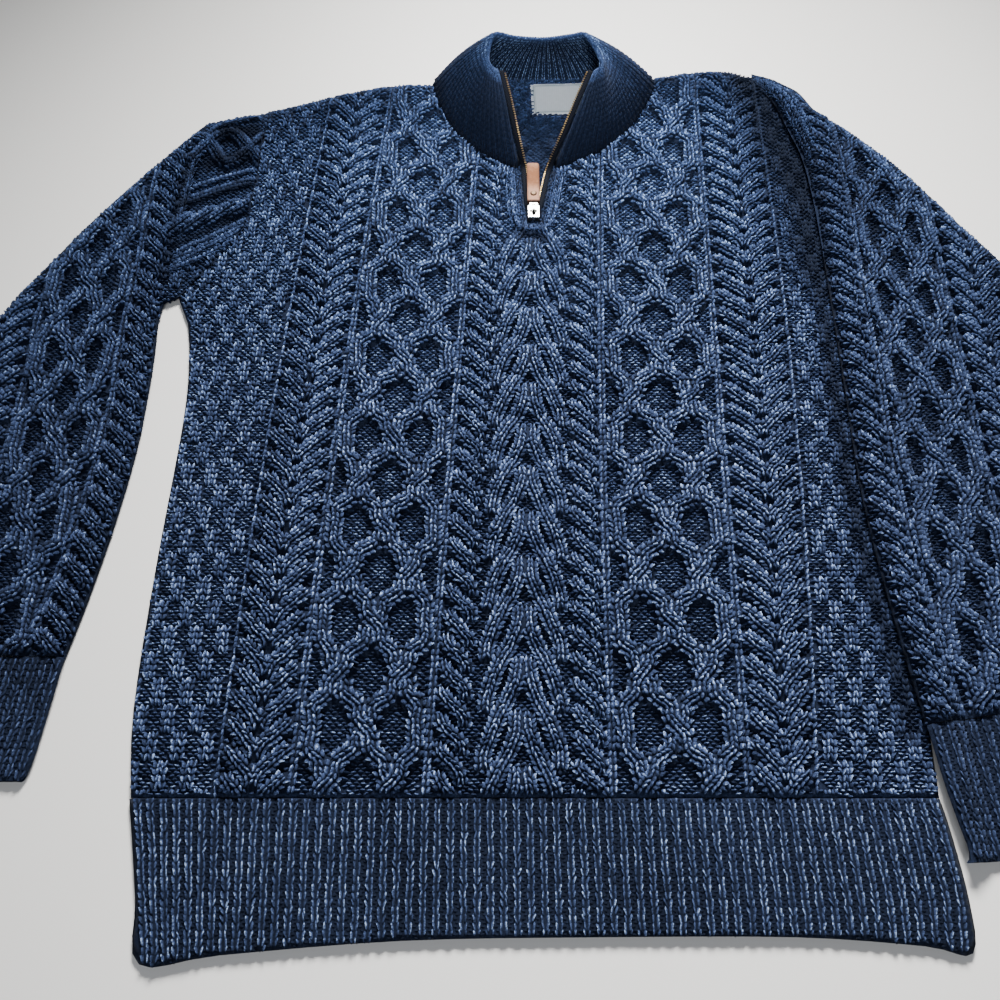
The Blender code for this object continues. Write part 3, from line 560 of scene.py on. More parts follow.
class Stitches:
    # stitches as half loops: middle, half length, half width and height, in the sheet's own plan
    def __init__(self):
        self.rows = []

    def put(self, x, y, ax, ay, bx, by, height):
        n = len(x)
        if n:
            full = [np.broadcast_to(np.asarray(v, float), (n,)) for v in (x, y, ax, ay, bx, by, height)]
            self.rows.append(np.stack(full, -1))

    def leg(self, x, y, tx, ty, side, length, width, height, tilt=None):
        # one leg of a knit stitch, leaning out from its column's middle as it rises
        n = len(x)
        lean = np.radians((gauge["legTilt"] if tilt is None else tilt) + dice.normal(0, 7.0, n)) * side
        dx, dy = tx * np.cos(lean) - ty * np.sin(lean), tx * np.sin(lean) + ty * np.cos(lean)
        half = length / 2 * dice.uniform(0.93, 1.07, n)
        wide = width / 2 * dice.uniform(0.9, 1.1, n)
        x = x + dice.normal(0, 0.00022, n)
        y = y + dice.normal(0, 0.00030, n)
        self.put(x, y, dx * half, dy * half, -dy * wide, dx * wide, height * dice.uniform(0.85, 1.15, n))

    def keep(self, test):
        every = self.all()
        self.rows = [every[test(every[:, 0], every[:, 1])]]

    def all(self):
        return np.vstack(self.rows) if self.rows else np.zeros((0, 7))

    def within(self, border):
        # the half loops inside a border; one that would stick out of it is cut short at that end
        rows = self.all()
        rows = rows[inside(border, rows[:, 0], rows[:, 1])].copy()
        for end in (-1, 1):
            out = ~inside(border, rows[:, 0] + end * rows[:, 2], rows[:, 1] + end * rows[:, 3])
            rows[out, 0:2] -= end * rows[out, 2:4] * 0.35
            rows[out, 2:4] *= 0.65
        kept = Stitches()
        kept.rows = [rows]
        return kept


fullLeg = {
    # along, across, up for each point of a plump half loop
    "points": np.array(((-1.0, 0.0, -0.35), (-0.5, 0.85, -0.40), (-0.52, 0.0, 0.80), (-0.5, -0.85, -0.40),
                        (0.5, 0.9, -0.40), (0.50, 0.0, 1.0), (0.5, -0.9, -0.40), (1.0, 0.0, -0.35))),
    "quads": ((2, 5, 4, 1), (3, 6, 5, 2)),
    "tris": ((0, 2, 1), (0, 3, 2), (5, 7, 4), (6, 7, 5)),
}
plainLeg = {
    "points": np.array(((-1.0, 0.0, -0.2), (0.0, 1.0, -0.2), (0.0, 0.0, 1.0), (0.0, -1.0, -0.2),
                        (1.0, 0.0, -0.2))),
    "quads": (),
    "tris": ((0, 2, 1), (0, 3, 2), (2, 4, 1), (3, 4, 2)),
}


def rawMesh(name, points, quads, tris):
    # a mesh straight from arrays
    mesh = bpy.data.meshes.new(name)
    quads = np.asarray(quads, np.int32).reshape(-1, 4)
    tris = np.asarray(tris, np.int32).reshape(-1, 3)
    corners = np.concatenate([quads.ravel(), tris.ravel()])
    starts = np.concatenate([np.arange(len(quads)) * 4, len(quads) * 4 + np.arange(len(tris)) * 3])
    mesh.vertices.add(len(points))
    mesh.vertices.foreach_set("co", np.ascontiguousarray(points, np.float32).ravel())
    mesh.loops.add(len(corners))
    mesh.loops.foreach_set("vertex_index", corners.astype(np.int32))
    mesh.polygons.add(len(starts))
    mesh.polygons.foreach_set("loop_start", starts.astype(np.int32))
    mesh.update(calc_edges=True)
    mesh.polygons.foreach_set("use_smooth", np.ones(len(starts), bool))
    return mesh


def dress(name, mesh, look, body="garment", tone=None, chart=None):
    # puts the mesh in the scene with its finish, its tone for each point and a flat chart
    piece = bpy.data.objects.new(name, mesh)
    bpy.context.scene.collection.objects.link(piece)
    mesh.materials.append(look)
    if tone is not None:
        kept = mesh.attributes.new("tone", "FLOAT", "POINT")
        kept.data.foreach_set("value", np.ascontiguousarray(tone, np.float32))
    if chart is not None:
        low, high = chart.min(0), chart.max(0)
        chart = (chart - low) / np.maximum(high - low, 1e-6).max() * 0.98 + 0.01
        corner = np.empty(len(mesh.loops), np.int32)
        mesh.loops.foreach_get("vertex_index", corner)
        mesh.uv_layers.new(name="OFBake").data.foreach_set("uv", chart[corner].astype(np.float32).ravel())
    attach(piece, body)
    return piece


def workStitches(name, store, surface, look, form=fullLeg, lift=0.0, tones=(0.3, 1.0), flip=False):
    # turns the stored half loops into one piece that follows the surface
    rows = store.all()
    template = form["points"]
    u = rows[:, 0:1] + template[:, 0] * rows[:, 2:3] + template[:, 1] * rows[:, 4:5]
    v = rows[:, 1:2] + template[:, 0] * rows[:, 3:4] + template[:, 1] * rows[:, 5:6]
    up = template[:, 2] * rows[:, 6:7] + lift
    points = surface.at(u.ravel(), v.ravel(), up.ravel())
    points[:, 2] = np.maximum(points[:, 2], 0.00002)
    base = (np.arange(len(rows)) * len(template))[:, None, None]
    quads = np.array(form["quads"], int).reshape(-1, 4)[None] + base
    tris = np.array(form["tris"], int)[None] + base
    if flip:
        quads, tris = quads[..., ::-1], tris[..., ::-1]
    mesh = rawMesh(name, points, quads.reshape(-1, 4), tris.reshape(-1, 3))
    # each stitch's random tone times the painted shade of its place; its crown is painted lighter and its
    # foot darker, as painted highlight and painted shade
    own = dice.uniform(*tones, len(rows)) * surface.litAt(rows[:, 0], rows[:, 1])
    crownHighlight = np.clip((template[:, 2] + 0.25) / 1.25, 0.0, 1.0)
    tone = (own[:, None] * (0.10 + 0.90 * crownHighlight)).ravel()
    chart = np.stack([u.ravel(), v.ravel()], -1)
    return dress(name, mesh, look, tone=tone, chart=chart)


def clothMesh(name, outline, top, bottom, step, bottomStep, openTest=None):
    # a closed thin cloth: two faces that meet round its outline, but not where openTest is true
    edge = evenSteps(outline, step)
    layers = []
    for height, gap, flip in ((top, step, False), (bottom, bottomStep, True)):
        low, high = edge.min(0), edge.max(0)
        gx = np.arange(low[0], high[0], gap)
        gy = np.arange(low[1], high[1], gap * 0.866)
        x, y = np.meshgrid(gx, gy)
        x = x + (np.arange(len(gy)) % 2)[:, None] * gap / 2
        x, y = x.ravel(), y.ravel()
        good = inside(edge, x, y)
        good[good] = distanceTo(closed(edge), x[good], y[good]) > gap * 0.6
        if gap > 1.5 * step:
            # a ring just inside the edge lets it roll over
            ring = inset(edge, 0.0016)
            ring = ring[inside(edge, ring[:, 0], ring[:, 1])][::2]
            x, y, good = (np.concatenate([a, b]) for a, b in
                          ((x, ring[:, 0]), (y, ring[:, 1]), (good, np.ones(len(ring), bool))))
        places = np.vstack([edge, np.stack([x[good], y[good]], -1)])
        count = len(edge)
        links = [(k, (k + 1) % count) for k in range(count)]
        flat, _, tris, *_ = geometry.delaunay_2d_cdt([Vector(p) for p in places], links, [], 1, 1e-6)
        flat = np.array([tuple(p) for p in flat])
        tris = np.array(tris, int)
        z = height(flat[:, 0], flat[:, 1])
        a, b, c = (flat[tris[:, k]] for k in range(3))
        turn = (b[:, 0] - a[:, 0]) * (c[:, 1] - a[:, 1]) - (b[:, 1] - a[:, 1]) * (c[:, 0] - a[:, 0])
        tris[turn < 0] = tris[turn < 0][:, ::-1]
        if flip:
            tris = tris[:, ::-1]
        layers.append((np.column_stack([flat, z]), tris))
    (upper, upperTris), (lower, lowerTris) = layers
    points = np.vstack([upper, lower])
    tris = np.vstack([upperTris, lowerTris + len(upper)])
    # join the two faces round the edge
    keys = {}
    target = np.arange(len(points))
    near = distanceTo(closed(edge), points[:, 0], points[:, 1]) < 1e-5
    for k in np.nonzero(near)[0]:
        if openTest is not None and openTest(points[k, 0], points[k, 1]):
            continue
        key = (round(points[k, 0] * 1e5), round(points[k, 1] * 1e5))
        target[k] = keys.setdefault(key, k)
    tris = target[tris]
    used, tris = np.unique(tris, return_inverse=True)
    tris = tris.reshape(-1, 3)
    good = (tris[:, 0] != tris[:, 1]) & (tris[:, 1] != tris[:, 2]) & (tris[:, 0] != tris[:, 2])
    points = points[used]
    return rawMesh(name, points, (), tris[good]), points


# The cloth under the stitches is painted near black as the shade between them, and lighter near its outline
# where it shows
def clothShadeTone(points, outline, plain=0.05, rim=0.45):
    near = distanceTo(closed(outline), points[:, 0], points[:, 1])
    return plain + (rim - plain) * np.clip(1.5 - near / 0.0014, 0.0, 1.0) * dice.uniform(0.5, 1.0,
                                                                                         len(points))


def inset(run, amount):
    # a closed run moved inwards, whichever way round it goes
    before, after = np.roll(run, 1, 0), np.roll(run, -1, 0)
    along = after - before
    along /= np.maximum(np.hypot(*along.T), 1e-9)[:, None]
    area = np.sum(run[:, 0] * after[:, 1] - run[:, 1] * after[:, 0])
    turn = 1.0 if area > 0 else -1.0
    return run + np.column_stack([-along[:, 1], along[:, 0]]) * amount * turn


# The knit patterns, each between two lines that run up the piece
def levels(lowY, highY, pitch, phase):
    first = math.floor((lowY - phase) / pitch) - 2
    last = math.ceil((highY - phase) / pitch) + 2
    return [phase + pitch * n for n in range(first, last + 1)]


def vCable(left, right, lowY, highY, phase, longer=1):
    # nested Vs that point down; the arm on the longer side crosses the middle over the other's end
    arm = ((0.0200, 0.0190), (0.0185, 0.0172), (0.0140, 0.0122), (0.0095, 0.0074), (0.0052, 0.0028),
           (0.0026, -0.0014), (0.0014, -0.0062))
    armWide = 0.0245
    made = []
    for base in levels(lowY, highY, gauge["cablePitch"], phase):
        lowX, highX = left(base + 0.01), right(base + 0.01)
        middle = (lowX + highX) / 2
        stretch = (highX - lowX) / 2 / armWide
        for side in (-1, 1):
            shift = 0.0022 if side == longer else -0.0008
            points = [(middle + side * (u * stretch - shift * (1 - u / 0.02)), base + v) for u, v in arm]
            made.append(Strand(points, half=0.0062, rise=0.0052, endDip=0.0040, wales=0.0029))
    return made


def rope(middle, lowY, highY, phase, wide=1.0):
    # a two strand rope: each crossing shows as one slanting lozenge
    lozenge = ((-0.0076, 0.0135), (-0.0072, 0.0092), (-0.0046, 0.0046), (0.0, 0.0), (0.0046, -0.0046),
               (0.0072, -0.0092), (0.0076, -0.0135))
    return [Strand([(middle(base) + u * wide, base + v) for u, v in lozenge], half=0.0056 * wide,
                   endDip=0.0085,
                   wales=0.0026)
            for base in levels(lowY, highY, gauge["cablePitch"], phase)]


def plait(middle, lowY, highY, phase):
    # long arms that part at the middle and flow down and out
    arm = ((0.0034, 0.0020), (0.0034, -0.0060), (0.0048, -0.0140), (0.0088, -0.0240), (0.0145, -0.0360),
           (0.0200, -0.0480), (0.0237, -0.0580), (0.0250, -0.0660), (0.0252, -0.0720))
    made = []
    for base in levels(lowY, highY + 0.05, gauge["plaitPitch"], phase):
        for side in (-1, 1):
            made.append(Strand([(middle(base + v) + side * u, base + v) for u, v in arm], half=0.0062,
                               rise=0.0058,
                               wales=0.0030, under=(base - 0.0270, base - 0.0600)))
    return made


def lattice(left, right, lowY, highY, phase, outer=0.80, middle=0.49):
    # four bands that cross at every step and turn back at the edges, round sunken lozenges;
    # two bands run side by side for a while on each side of the place where they cross
    turns = (-outer, -middle, 0.0, middle, outer, middle, 0.0, -middle)
    step = gauge["latticeStep"]
    first = math.floor((lowY - phase) / step) - 1
    last = math.ceil((highY - phase) / step) + 1
    made = []
    for strand in range(4):
        points = []
        under = []
        for n in range(first, last + 1):
            before, now, after = (turns[(n + k + 2 * strand) % 8] for k in (-1, 0, 1))
            y = phase + n * step
            half, centre = (right(y) - left(y)) / 2, (right(y) + left(y)) / 2
            way = np.sign(after - before)
            for aside, more in ((-0.0058, -0.0145), (-0.0046, -0.0055), (0.0046, 0.0055), (0.0058, 0.0145)):
                points.append((centre + now * half + aside * way, y + more))
            rising = after > now
            if (abs(now) == middle and not rising) or (now == 0.0 and rising):
                under.append(y)
        made.append(Strand(points, half=0.0070, rise=0.0056, steps=4, endDip=0.001, under=under,
                           wales=0.0033))
    return made


def slope(line, y):
    return (line(y + 0.01) - line(y - 0.01)) / 0.02


def ridge(line, lowY, highY, columns, store, sheet, rise=0.0016):
    # twisted columns: one bright slanting dash to the row
    ys = np.arange(lowY, highY, gauge["row"])
    lean = slope(line, ys)
    for column in columns:
        window = sheet.near((-1.0, lowY), (1.0, highY))
        far = (sheet.x[window] - line(sheet.y[window]) - column) / 0.0022
        sheet.lift(window, rise * np.sqrt(np.maximum(0.0, 1 - far ** 2)))
    for column in columns:
        x = line(ys) + column
        store.leg(x, ys, lean, np.ones_like(ys), -1, gauge["row"] * 1.3, 0.0032, 0.0016, tilt=11)


def blocks(line, side, lowY, highY, phase, reach, store, sheet, rise=0.0031):
    # a checker of knit and purl blocks, two columns wide and four rows tall
    wide, tall = gauge["blockWide"], gauge["cablePitch"]

    def knitAt(x, y):
        out = (x - line(y)) * side
        return ((np.floor(out / wide - 0.5) + np.floor((y - phase) / tall)) % 2 == 0) & (out > 0.0045)

    window = sheet.near((-1.0, lowY), (1.0, highY))
    x, y = sheet.x[window], sheet.y[window]
    out = (x - line(y)) * side
    across = np.abs((out / wide - 0.5) % 1 - 0.5) * 2
    up = ((y - phase) / tall) % 1
    bulge = np.sqrt(np.maximum(0.0, 1 - across ** 4)) * (0.55 + 0.45 * up)
    bulge = bulge * np.minimum(1, np.minimum(up, 1 - up) / 0.12)
    sheet.lift(window, np.where(knitAt(x, y) & (out < reach), rise * bulge, 0.0))
    found = []
    for k in range(int(reach / wide) + 1):
        for n in range(int(math.floor((lowY - phase) / tall)), int(math.ceil((highY - phase) / tall))):
            if (k + n) % 2:
                continue
            for row in range(4):
                y = phase + (n + (row + 0.5) / 4) * tall
                for wale in (0.75, 1.25):
                    found.append((float(line(y)) + side * (k + wale) * wide, y))
    found = np.array(found)
    for leg in (-1, 1):
        x = found[:, 0] - leg * gauge["legOut"]
        store.leg(x, found[:, 1], np.zeros(len(x)), np.ones(len(x)), leg, gauge["row"] * 1.28, 0.0027, 0.0017)
    return knitAt


def purl(sheet, store, limits, skip, lean):
    # little crossways bumps, two to the stitch, wherever nothing is raised
    (lowX, lowY), (highX, highY) = limits
    ys = np.arange(lowY, highY, gauge["row"] / 2)
    xs = np.arange(lowX, highX, gauge["wale"])
    x, y = np.meshgrid(xs, ys)
    n = np.arange(len(ys))[:, None]
    x = (x + (n % 2) * gauge["wale"] / 2 + lean(y)).ravel()
    y = y.ravel()
    count = len(x)
    x = x + dice.normal(0, 0.00025, count)
    y = y + dice.normal(0, 0.00025, count)
    free = ~skip(x, y) & (sheet.read(sheet.relief, x, y) < 0.0020)
    x, y = x[free], y[free]
    turn = dice.normal(0, 0.22, len(x))
    half, wide = 0.00215, 0.00092
    store.put(x, y, np.cos(turn) * half, np.sin(turn) * half, -np.sin(turn) * wide, np.cos(turn) * wide,
              0.0016 * dice.uniform(0.8, 1.2, len(x)))


# Front and back of the body
body = {
    "floor": 0.0033,          # underside of the front
    "ground": 0.0050,         # its plain top between the cables
    "backLow": 0.0024,        # the back's outer face, from the floor up
    "backTop": 0.0031,
    "foldRadius": 0.012,
    "cutRadius": 0.0018,
    "foldDrop": 0.0020,
    "cutDrop": 0.0008,
    "shoulderLift": 0.0080,   # the right shoulder stands up in a soft fold
    "vPhase": -0.1610,
    "ropeLeftPhase": -0.0230,
    "ropeRightPhase": -0.0170,
    "plaitPhase": -0.0470,
    "latticePhase": -0.0925,
    "blockPhase": -0.0400,
    "hemY": -0.284,
    "topY": 0.385,
    "gridLow": (-0.300, -0.300),
    "gridHigh": (0.300, 0.392),
    "labelAt": (0.034, 0.349),
}
# The folds beside the right sleeve that are painted in shade, at its top and further down
trough = ((0.2060, 0.3720), (0.2180, 0.3450), (0.2285, 0.3000), (0.2400, 0.2600), (0.2440, 0.2200),
          (0.2440, 0.1500))
besideSleeve = ((0.2440, 0.1800), (0.2430, 0.0800), (0.2400, 0.0000), (0.2390, -0.0600), (0.2420, -0.1300),
                (0.2490, -0.2000), (0.2530, -0.2400))
frontOutline = loop(smoothRun(leftSide, 4)[:-1], smoothRun(leftArmhole, 4)[:-1], smoothRun(leftShoulder, 4),
                    smoothRun(leftNeck, 4), zipSlot, smoothRun(rightNeck, 4), smoothRun(rightShoulder, 4),
                    smoothRun(rightSide, 4))
backOutline = loop(smoothRun(leftSide, 4)[:-1], smoothRun(leftArmhole, 4)[:-1],
                   smoothRun(leftShoulder, 4)[:-1],
                   smoothRun(backNeck, 4), smoothRun(rightShoulder, 4)[1:], smoothRun(rightSide, 4))
neckEdge = loop(leftNeck, zipSlot, rightNeck)

# Down one side of the zip, under the slider and up the other side
zipBand = ((-0.0068, 0.2640), (-0.0062, 0.2450), (-0.0050, 0.2220), (-0.0036, 0.2060), (-0.0008, 0.1968),
           (0.0090, 0.1925), (0.0190, 0.1968), (0.0232, 0.2060), (0.0262, 0.2220), (0.0296, 0.2450),
           (0.0318, 0.2640))
zipChain = ((-0.0126, 0.2640), (-0.0120, 0.2450), (-0.0108, 0.2220), (-0.0092, 0.2040), (-0.0050, 0.1915),
            (0.0090, 0.1865), (0.0235, 0.1915), (0.0290, 0.2040), (0.0322, 0.2220), (0.0356, 0.2450),
            (0.0378, 0.2640))
# The right sleeve's top, folded over the end of the shoulder
rightShoulderFold = ((0.2505, 0.200), (0.2480, 0.262), (0.2400, 0.300), (0.2290, 0.340), (0.2150, 0.3705))
rightShoulderEdge = ((0.2160, 0.3775), (0.2341, 0.3705), (0.2450, 0.3625), (0.2555, 0.3530), (0.2645, 0.3380),
                     (0.2770, 0.3240))
# Where the body lies in shade: a line, how far the shade reaches, and how dark it is
bodyShades = (
    (trough, 0.025, 0.98),
    (besideSleeve, 0.009, 0.88),
    (((0.1600, 0.3850), (0.2300, 0.3500), (0.2450, 0.2600)), 0.050, 0.50),
    (((-0.2300, 0.3500), (-0.1500, 0.3700)), 0.060, 0.55),
    (((-0.0030, 0.1830), (0.0060, 0.1780), (0.0140, 0.1775)), 0.0085, 0.92),
    (neckEdge, 0.006, 0.55),
    (zipBand, 0.006, 0.35),
)
doubleRidges = ("ridgeMiddleLeft", "ridgeInnerLeft", "ridgeInnerRight", "ridgeMiddleRight")
singleRidges = ("ridgeOuterLeft", "ridgeOuterRight")


def frontPattern(sheet):
    # every raised band of the front, and then the stitches that show
    lowY, highY = body["hemY"], body["topY"]
    line = {name: ridgeX(name) for name in ridgeLines}
    strands = []
    strands += lattice(line["ridgeMiddleLeft"], line["ridgeInnerLeft"], lowY, highY, body["latticePhase"])
    strands += lattice(line["ridgeInnerRight"], line["ridgeMiddleRight"], lowY, highY, body["latticePhase"])
    strands += vCable(line["ridgeOuterLeft"], line["ridgeMiddleLeft"], lowY, highY, body["vPhase"])
    strands += vCable(line["ridgeMiddleRight"], line["ridgeOuterRight"], lowY, highY,
                      body["vPhase"] + 0.004, -1)
    strands += plait(line["centre"], lowY, highY, body["plaitPhase"])
    strands += rope(lambda y: line["ridgeInnerLeft"](y) + 0.0146, lowY, highY, body["ropeLeftPhase"])
    strands += rope(lambda y: line["ridgeInnerRight"](y) - 0.0146, lowY, highY, body["ropeRightPhase"])
    store = Stitches()
    for name in doubleRidges:
        ridge(line[name], lowY, highY, (-gauge["ridgeApart"], gauge["ridgeApart"]), store, sheet)
    for name in singleRidges:
        ridge(line[name], lowY, highY, (0.0,), store, sheet)
    checkerLeft = blocks(line["ridgeOuterLeft"], -1, lowY, highY, body["blockPhase"], 0.100, store, sheet)
    checkerRight = blocks(line["ridgeOuterRight"], 1, lowY, highY, body["blockPhase"], 0.090, store, sheet)

    # the band round the zip opening is plain, with a chain along its outer edge
    def atZip(x, y):
        return (distanceTo(zipBand, x, y) < 0.0075) & (y < 0.2680)

    sheet.relief[atZip(sheet.x, sheet.y)] = 0.0
    strands = [s for s in strands if not atZip(*s.path[len(s.path) // 2])]
    store.keep(lambda x, y: ~atZip(x, y))
    strands.append(Strand(zipBand, half=0.0046, rise=0.0022, steps=4, wales=0.0022))
    strands.append(Strand(zipChain, half=0.0023, rise=0.0036, steps=4, wales=0.0011))
    for strand in strands:
        strand.stamp(sheet)
    for strand in strands:
        strand.knit(sheet, store)

    def skip(x, y):
        beside = checkerLeft(x, y) | checkerRight(x, y)
        for names, half in ((doubleRidges, 0.0034), (singleRidges, 0.0024)):
            for name in names:
                beside |= np.abs(x - line[name](y)) < half
        return beside

    ground = Stitches()
    purl(sheet, ground, ((-0.300, lowY), (0.300, highY)), skip, line["centre"])
    return store, ground


def meeting(face, plain, outline, reach):
    # an underside that rises to meet its upper face round the outline
    edge = closed(outline)

    def read(x, y):
        low = plain(x, y)
        return low + (face(x, y) - low) * fading(distanceTo(edge, x, y), reach)
    return read


def faceOf(sheet, height, lift=0.0):
    return lambda x, y: sheet.read(height, x, y) + lift


def flatAt(z):
    return lambda x, y=None: np.full(np.shape(x), z)


def makeBody(knit):
    sheet = Sheet(body["gridLow"], body["gridHigh"])
    store, ground = frontPattern(sheet)
    folds = (loop(leftSide, leftArmhole[:1]), loop(rightShoulder[3:], rightSide))
    shoulders = (loop(leftShoulder), loop(rightShoulder))
    nearFold, nearShoulder = (nearest([smoothRun(run, 4) for run in runs], sheet.x, sheet.y)
                              for runs in (folds, shoulders))
    nearNeck = distanceTo(neckEdge, sheet.x, sheet.y)
    nearCut = np.abs(sheet.y - body["hemY"])
    nearTrough = distanceTo(trough, sheet.x, sheet.y)
    fade = softStep((nearFold - 0.001) / 0.010) * softStep((nearShoulder - 0.001) / 0.009)
    fade = fade * softStep((nearNeck - 0.004) / 0.006)
    fade = fade * np.where(sheet.x > 0.240, 0.2, 1.0) * (0.25 + 0.75 * softStep(nearCut / 0.006))
    fade = fade * (0.35 + 0.65 * softStep((nearTrough - 0.004) / 0.010))
    height = (body["ground"] + sheet.relief * fade
              - body["foldDrop"] * roll(nearFold, body["foldRadius"])
              - body["foldDrop"] * roll(nearShoulder, body["foldRadius"] / 2)
              + body["shoulderLift"] * np.exp(-(nearShoulder / 0.030) ** 2 - ((sheet.x - 0.174) / 0.048) ** 2)
              + 0.0035 * np.exp(-(nearShoulder / 0.030) ** 2 - ((sheet.x + 0.150) / 0.075) ** 2)
              - body["cutDrop"] * roll(np.minimum(nearCut, nearNeck), body["cutRadius"]))
    lowest = body["floor"] + 0.0001
    height = np.maximum(height, lowest)
    sheet.settle(height)
    for shaded in bodyShades:
        sheet.shadow(*shaded)

    top = faceOf(sheet, np.maximum(sheet.hidden(height, 3) - 0.0006, lowest))
    under = meeting(top, flatAt(body["floor"]), frontOutline, 0.0016)
    mesh, points = clothMesh("front_cloth", frontOutline, top, under, 0.0038, 0.016)
    front = dress("front_cloth", mesh, knit, tone=clothShadeTone(points, frontOutline),
                  chart=points[:, :2])
    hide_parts("front_panel")

    border = inset(frontOutline, 0.0005)
    flatter = 0.60 * (1 - softStep(nearShoulder / 0.014))
    rows, bumps = (kept.within(border).all() for kept in (store, ground))
    for found in (rows, bumps):
        found[:, 6] *= 1 - sheet.read(flatter, found[:, 0], found[:, 1])
    onLeft = rows[:, 0] < 0.004
    pieces = []
    for name, found, tones in (("front_stitches_left", rows[onLeft], (0.30, 1.20)),
                               ("front_stitches_right", rows[~onLeft], (0.30, 1.20)),
                               ("front_purl", bumps, (0.24, 1.38))):
        part = Stitches()
        part.rows = [found]
        pieces.append(workStitches(name, part, sheet, knit, tones=tones))
    print("front", len(store.all()), "knit", len(ground.all()), "purl")
    return sheet, store, ground, front, pieces


def makeBack(knit, frontSheet, store, ground):
    outer, inner = (Sheet(body["gridLow"], body["gridHigh"]) for _ in range(2))
    near = distanceTo(closed(backOutline)[::2], outer.x, outer.y)
    relief = frontSheet.relief * softStep((near - 0.002) / 0.010)
    outerHeight = body["backLow"] - relief * 0.18 + 0.0008 * roll(near, 0.009)
    outer.settle(outerHeight, facing=-1.0)

    def labelled(x, y, halfWide, halfDeep):
        return (np.abs(x - body["labelAt"][0]) < halfWide) & (np.abs(y - body["labelAt"][1]) < halfDeep)

    deep = softStep((distanceTo(neckEdge, inner.x, inner.y) - 0.004) / 0.008)
    deep = deep * inside(neckOpening, inner.x, inner.y) * ~labelled(inner.x, inner.y, 0.029, 0.024)
    innerHeight = body["backTop"] + frontSheet.relief * 0.70 * deep * (inner.y < 0.372)
    inner.settle(innerHeight)
    # painted shade: the inside seen at the neck is painted darker, the more so further down towards the zip,
    # as it lies in the collar's shade
    inner.lit = inner.lit ** 1.6 * (0.22 + 0.42 * softStep((inner.y - 0.290) / 0.050))

    top = faceOf(inner, innerHeight)
    under = meeting(top, faceOf(outer, outerHeight, 0.0002), backOutline, 0.0012)
    mesh, points = clothMesh("back_cloth", backOutline, top, under, 0.0055, 0.0055)
    back = dress("back_cloth", mesh, knit, tone=clothShadeTone(points, backOutline, 0.10),
                 chart=points[:, :2])
    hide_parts("back_panel")
    border = inset(backOutline, 0.0012)
    pieces = []
    for kept, name in ((store, "back_stitches"), (ground, "back_purl")):
        half = kept.within(border)
        half.rows[0][:, 6] *= 0.75
        pieces.append(workStitches(name, half, outer, knit, form=plainLeg, flip=True))
    # the inside that shows at the neck
    bumps = Stitches()

    def covered(x, y):
        return ~inside(neckOpening, x, y) | labelled(x, y, 0.024, 0.019)

    purl(inner, bumps, ((-0.080, 0.190), (0.125, 0.379)), covered, lambda y: y * 0)
    bumps.rows[0][:, 2:6] *= 1.25
    bumps.rows[0][:, 6] *= 1.5
    pieces.append(workStitches("neck_inside_purl", bumps, inner, knit, tones=(0.3, 1.1)))
    return back, pieces


neckOpening = loop(leftNeck, zipSlot, rightNeck, ((0.121, 0.379), (0.0, 0.382), (-0.078, 0.379)))


# Sleeves: flat tubes, open at the cuff and at the armhole
sleeve = {
    "ground": 0.0060,
    "edge": 0.0034,
    "foldRadius": 0.012,
    "climb": 0.0076,
    "climbFoot": 0.2900,
    "climbHead": 0.2725,
    "ropeAt": 0.0130,
    "ridgeAt": 0.0268,
    "ridgeTwoAt": 0.0975,
    "cableEnd": 0.1430,
    "phases": {-1: (-0.165, -0.0925, -0.160), 1: (-0.160, -0.110, -0.165)},
}
# The same for each sleeve, by its side: where it is painted in shade
sleeveShades = {
    -1: ((((-0.2660, 0.3000), (-0.2440, 0.3060)), 0.013, 0.92),
         (((-0.2800, 0.2640), (-0.2480, 0.2720)), 0.010, 0.92),
         (((-0.2960, 0.2140), (-0.2360, 0.2420)), 0.0060, 0.85),
         (((-0.2960, 0.1700), (-0.2700, 0.1870), (-0.2400, 0.2060)), 0.0040, 0.88),
         (((-0.2990, 0.1350), (-0.2985, 0.2000), (-0.2950, 0.2700)), 0.005, 0.60)),
    1: ((trough, 0.014, 0.95),
        (((0.2560, 0.3600), (0.2700, 0.3000), (0.2800, 0.2000)), 0.030, 0.30)),
}


def climbing(x):
    share = np.clip((sleeve["climbFoot"] - x) / (sleeve["climbFoot"] - sleeve["climbHead"]), 0.0, 1.0)
    return sleeve["climb"] * softStep(share)


def level(x):
    return np.zeros(np.shape(x))


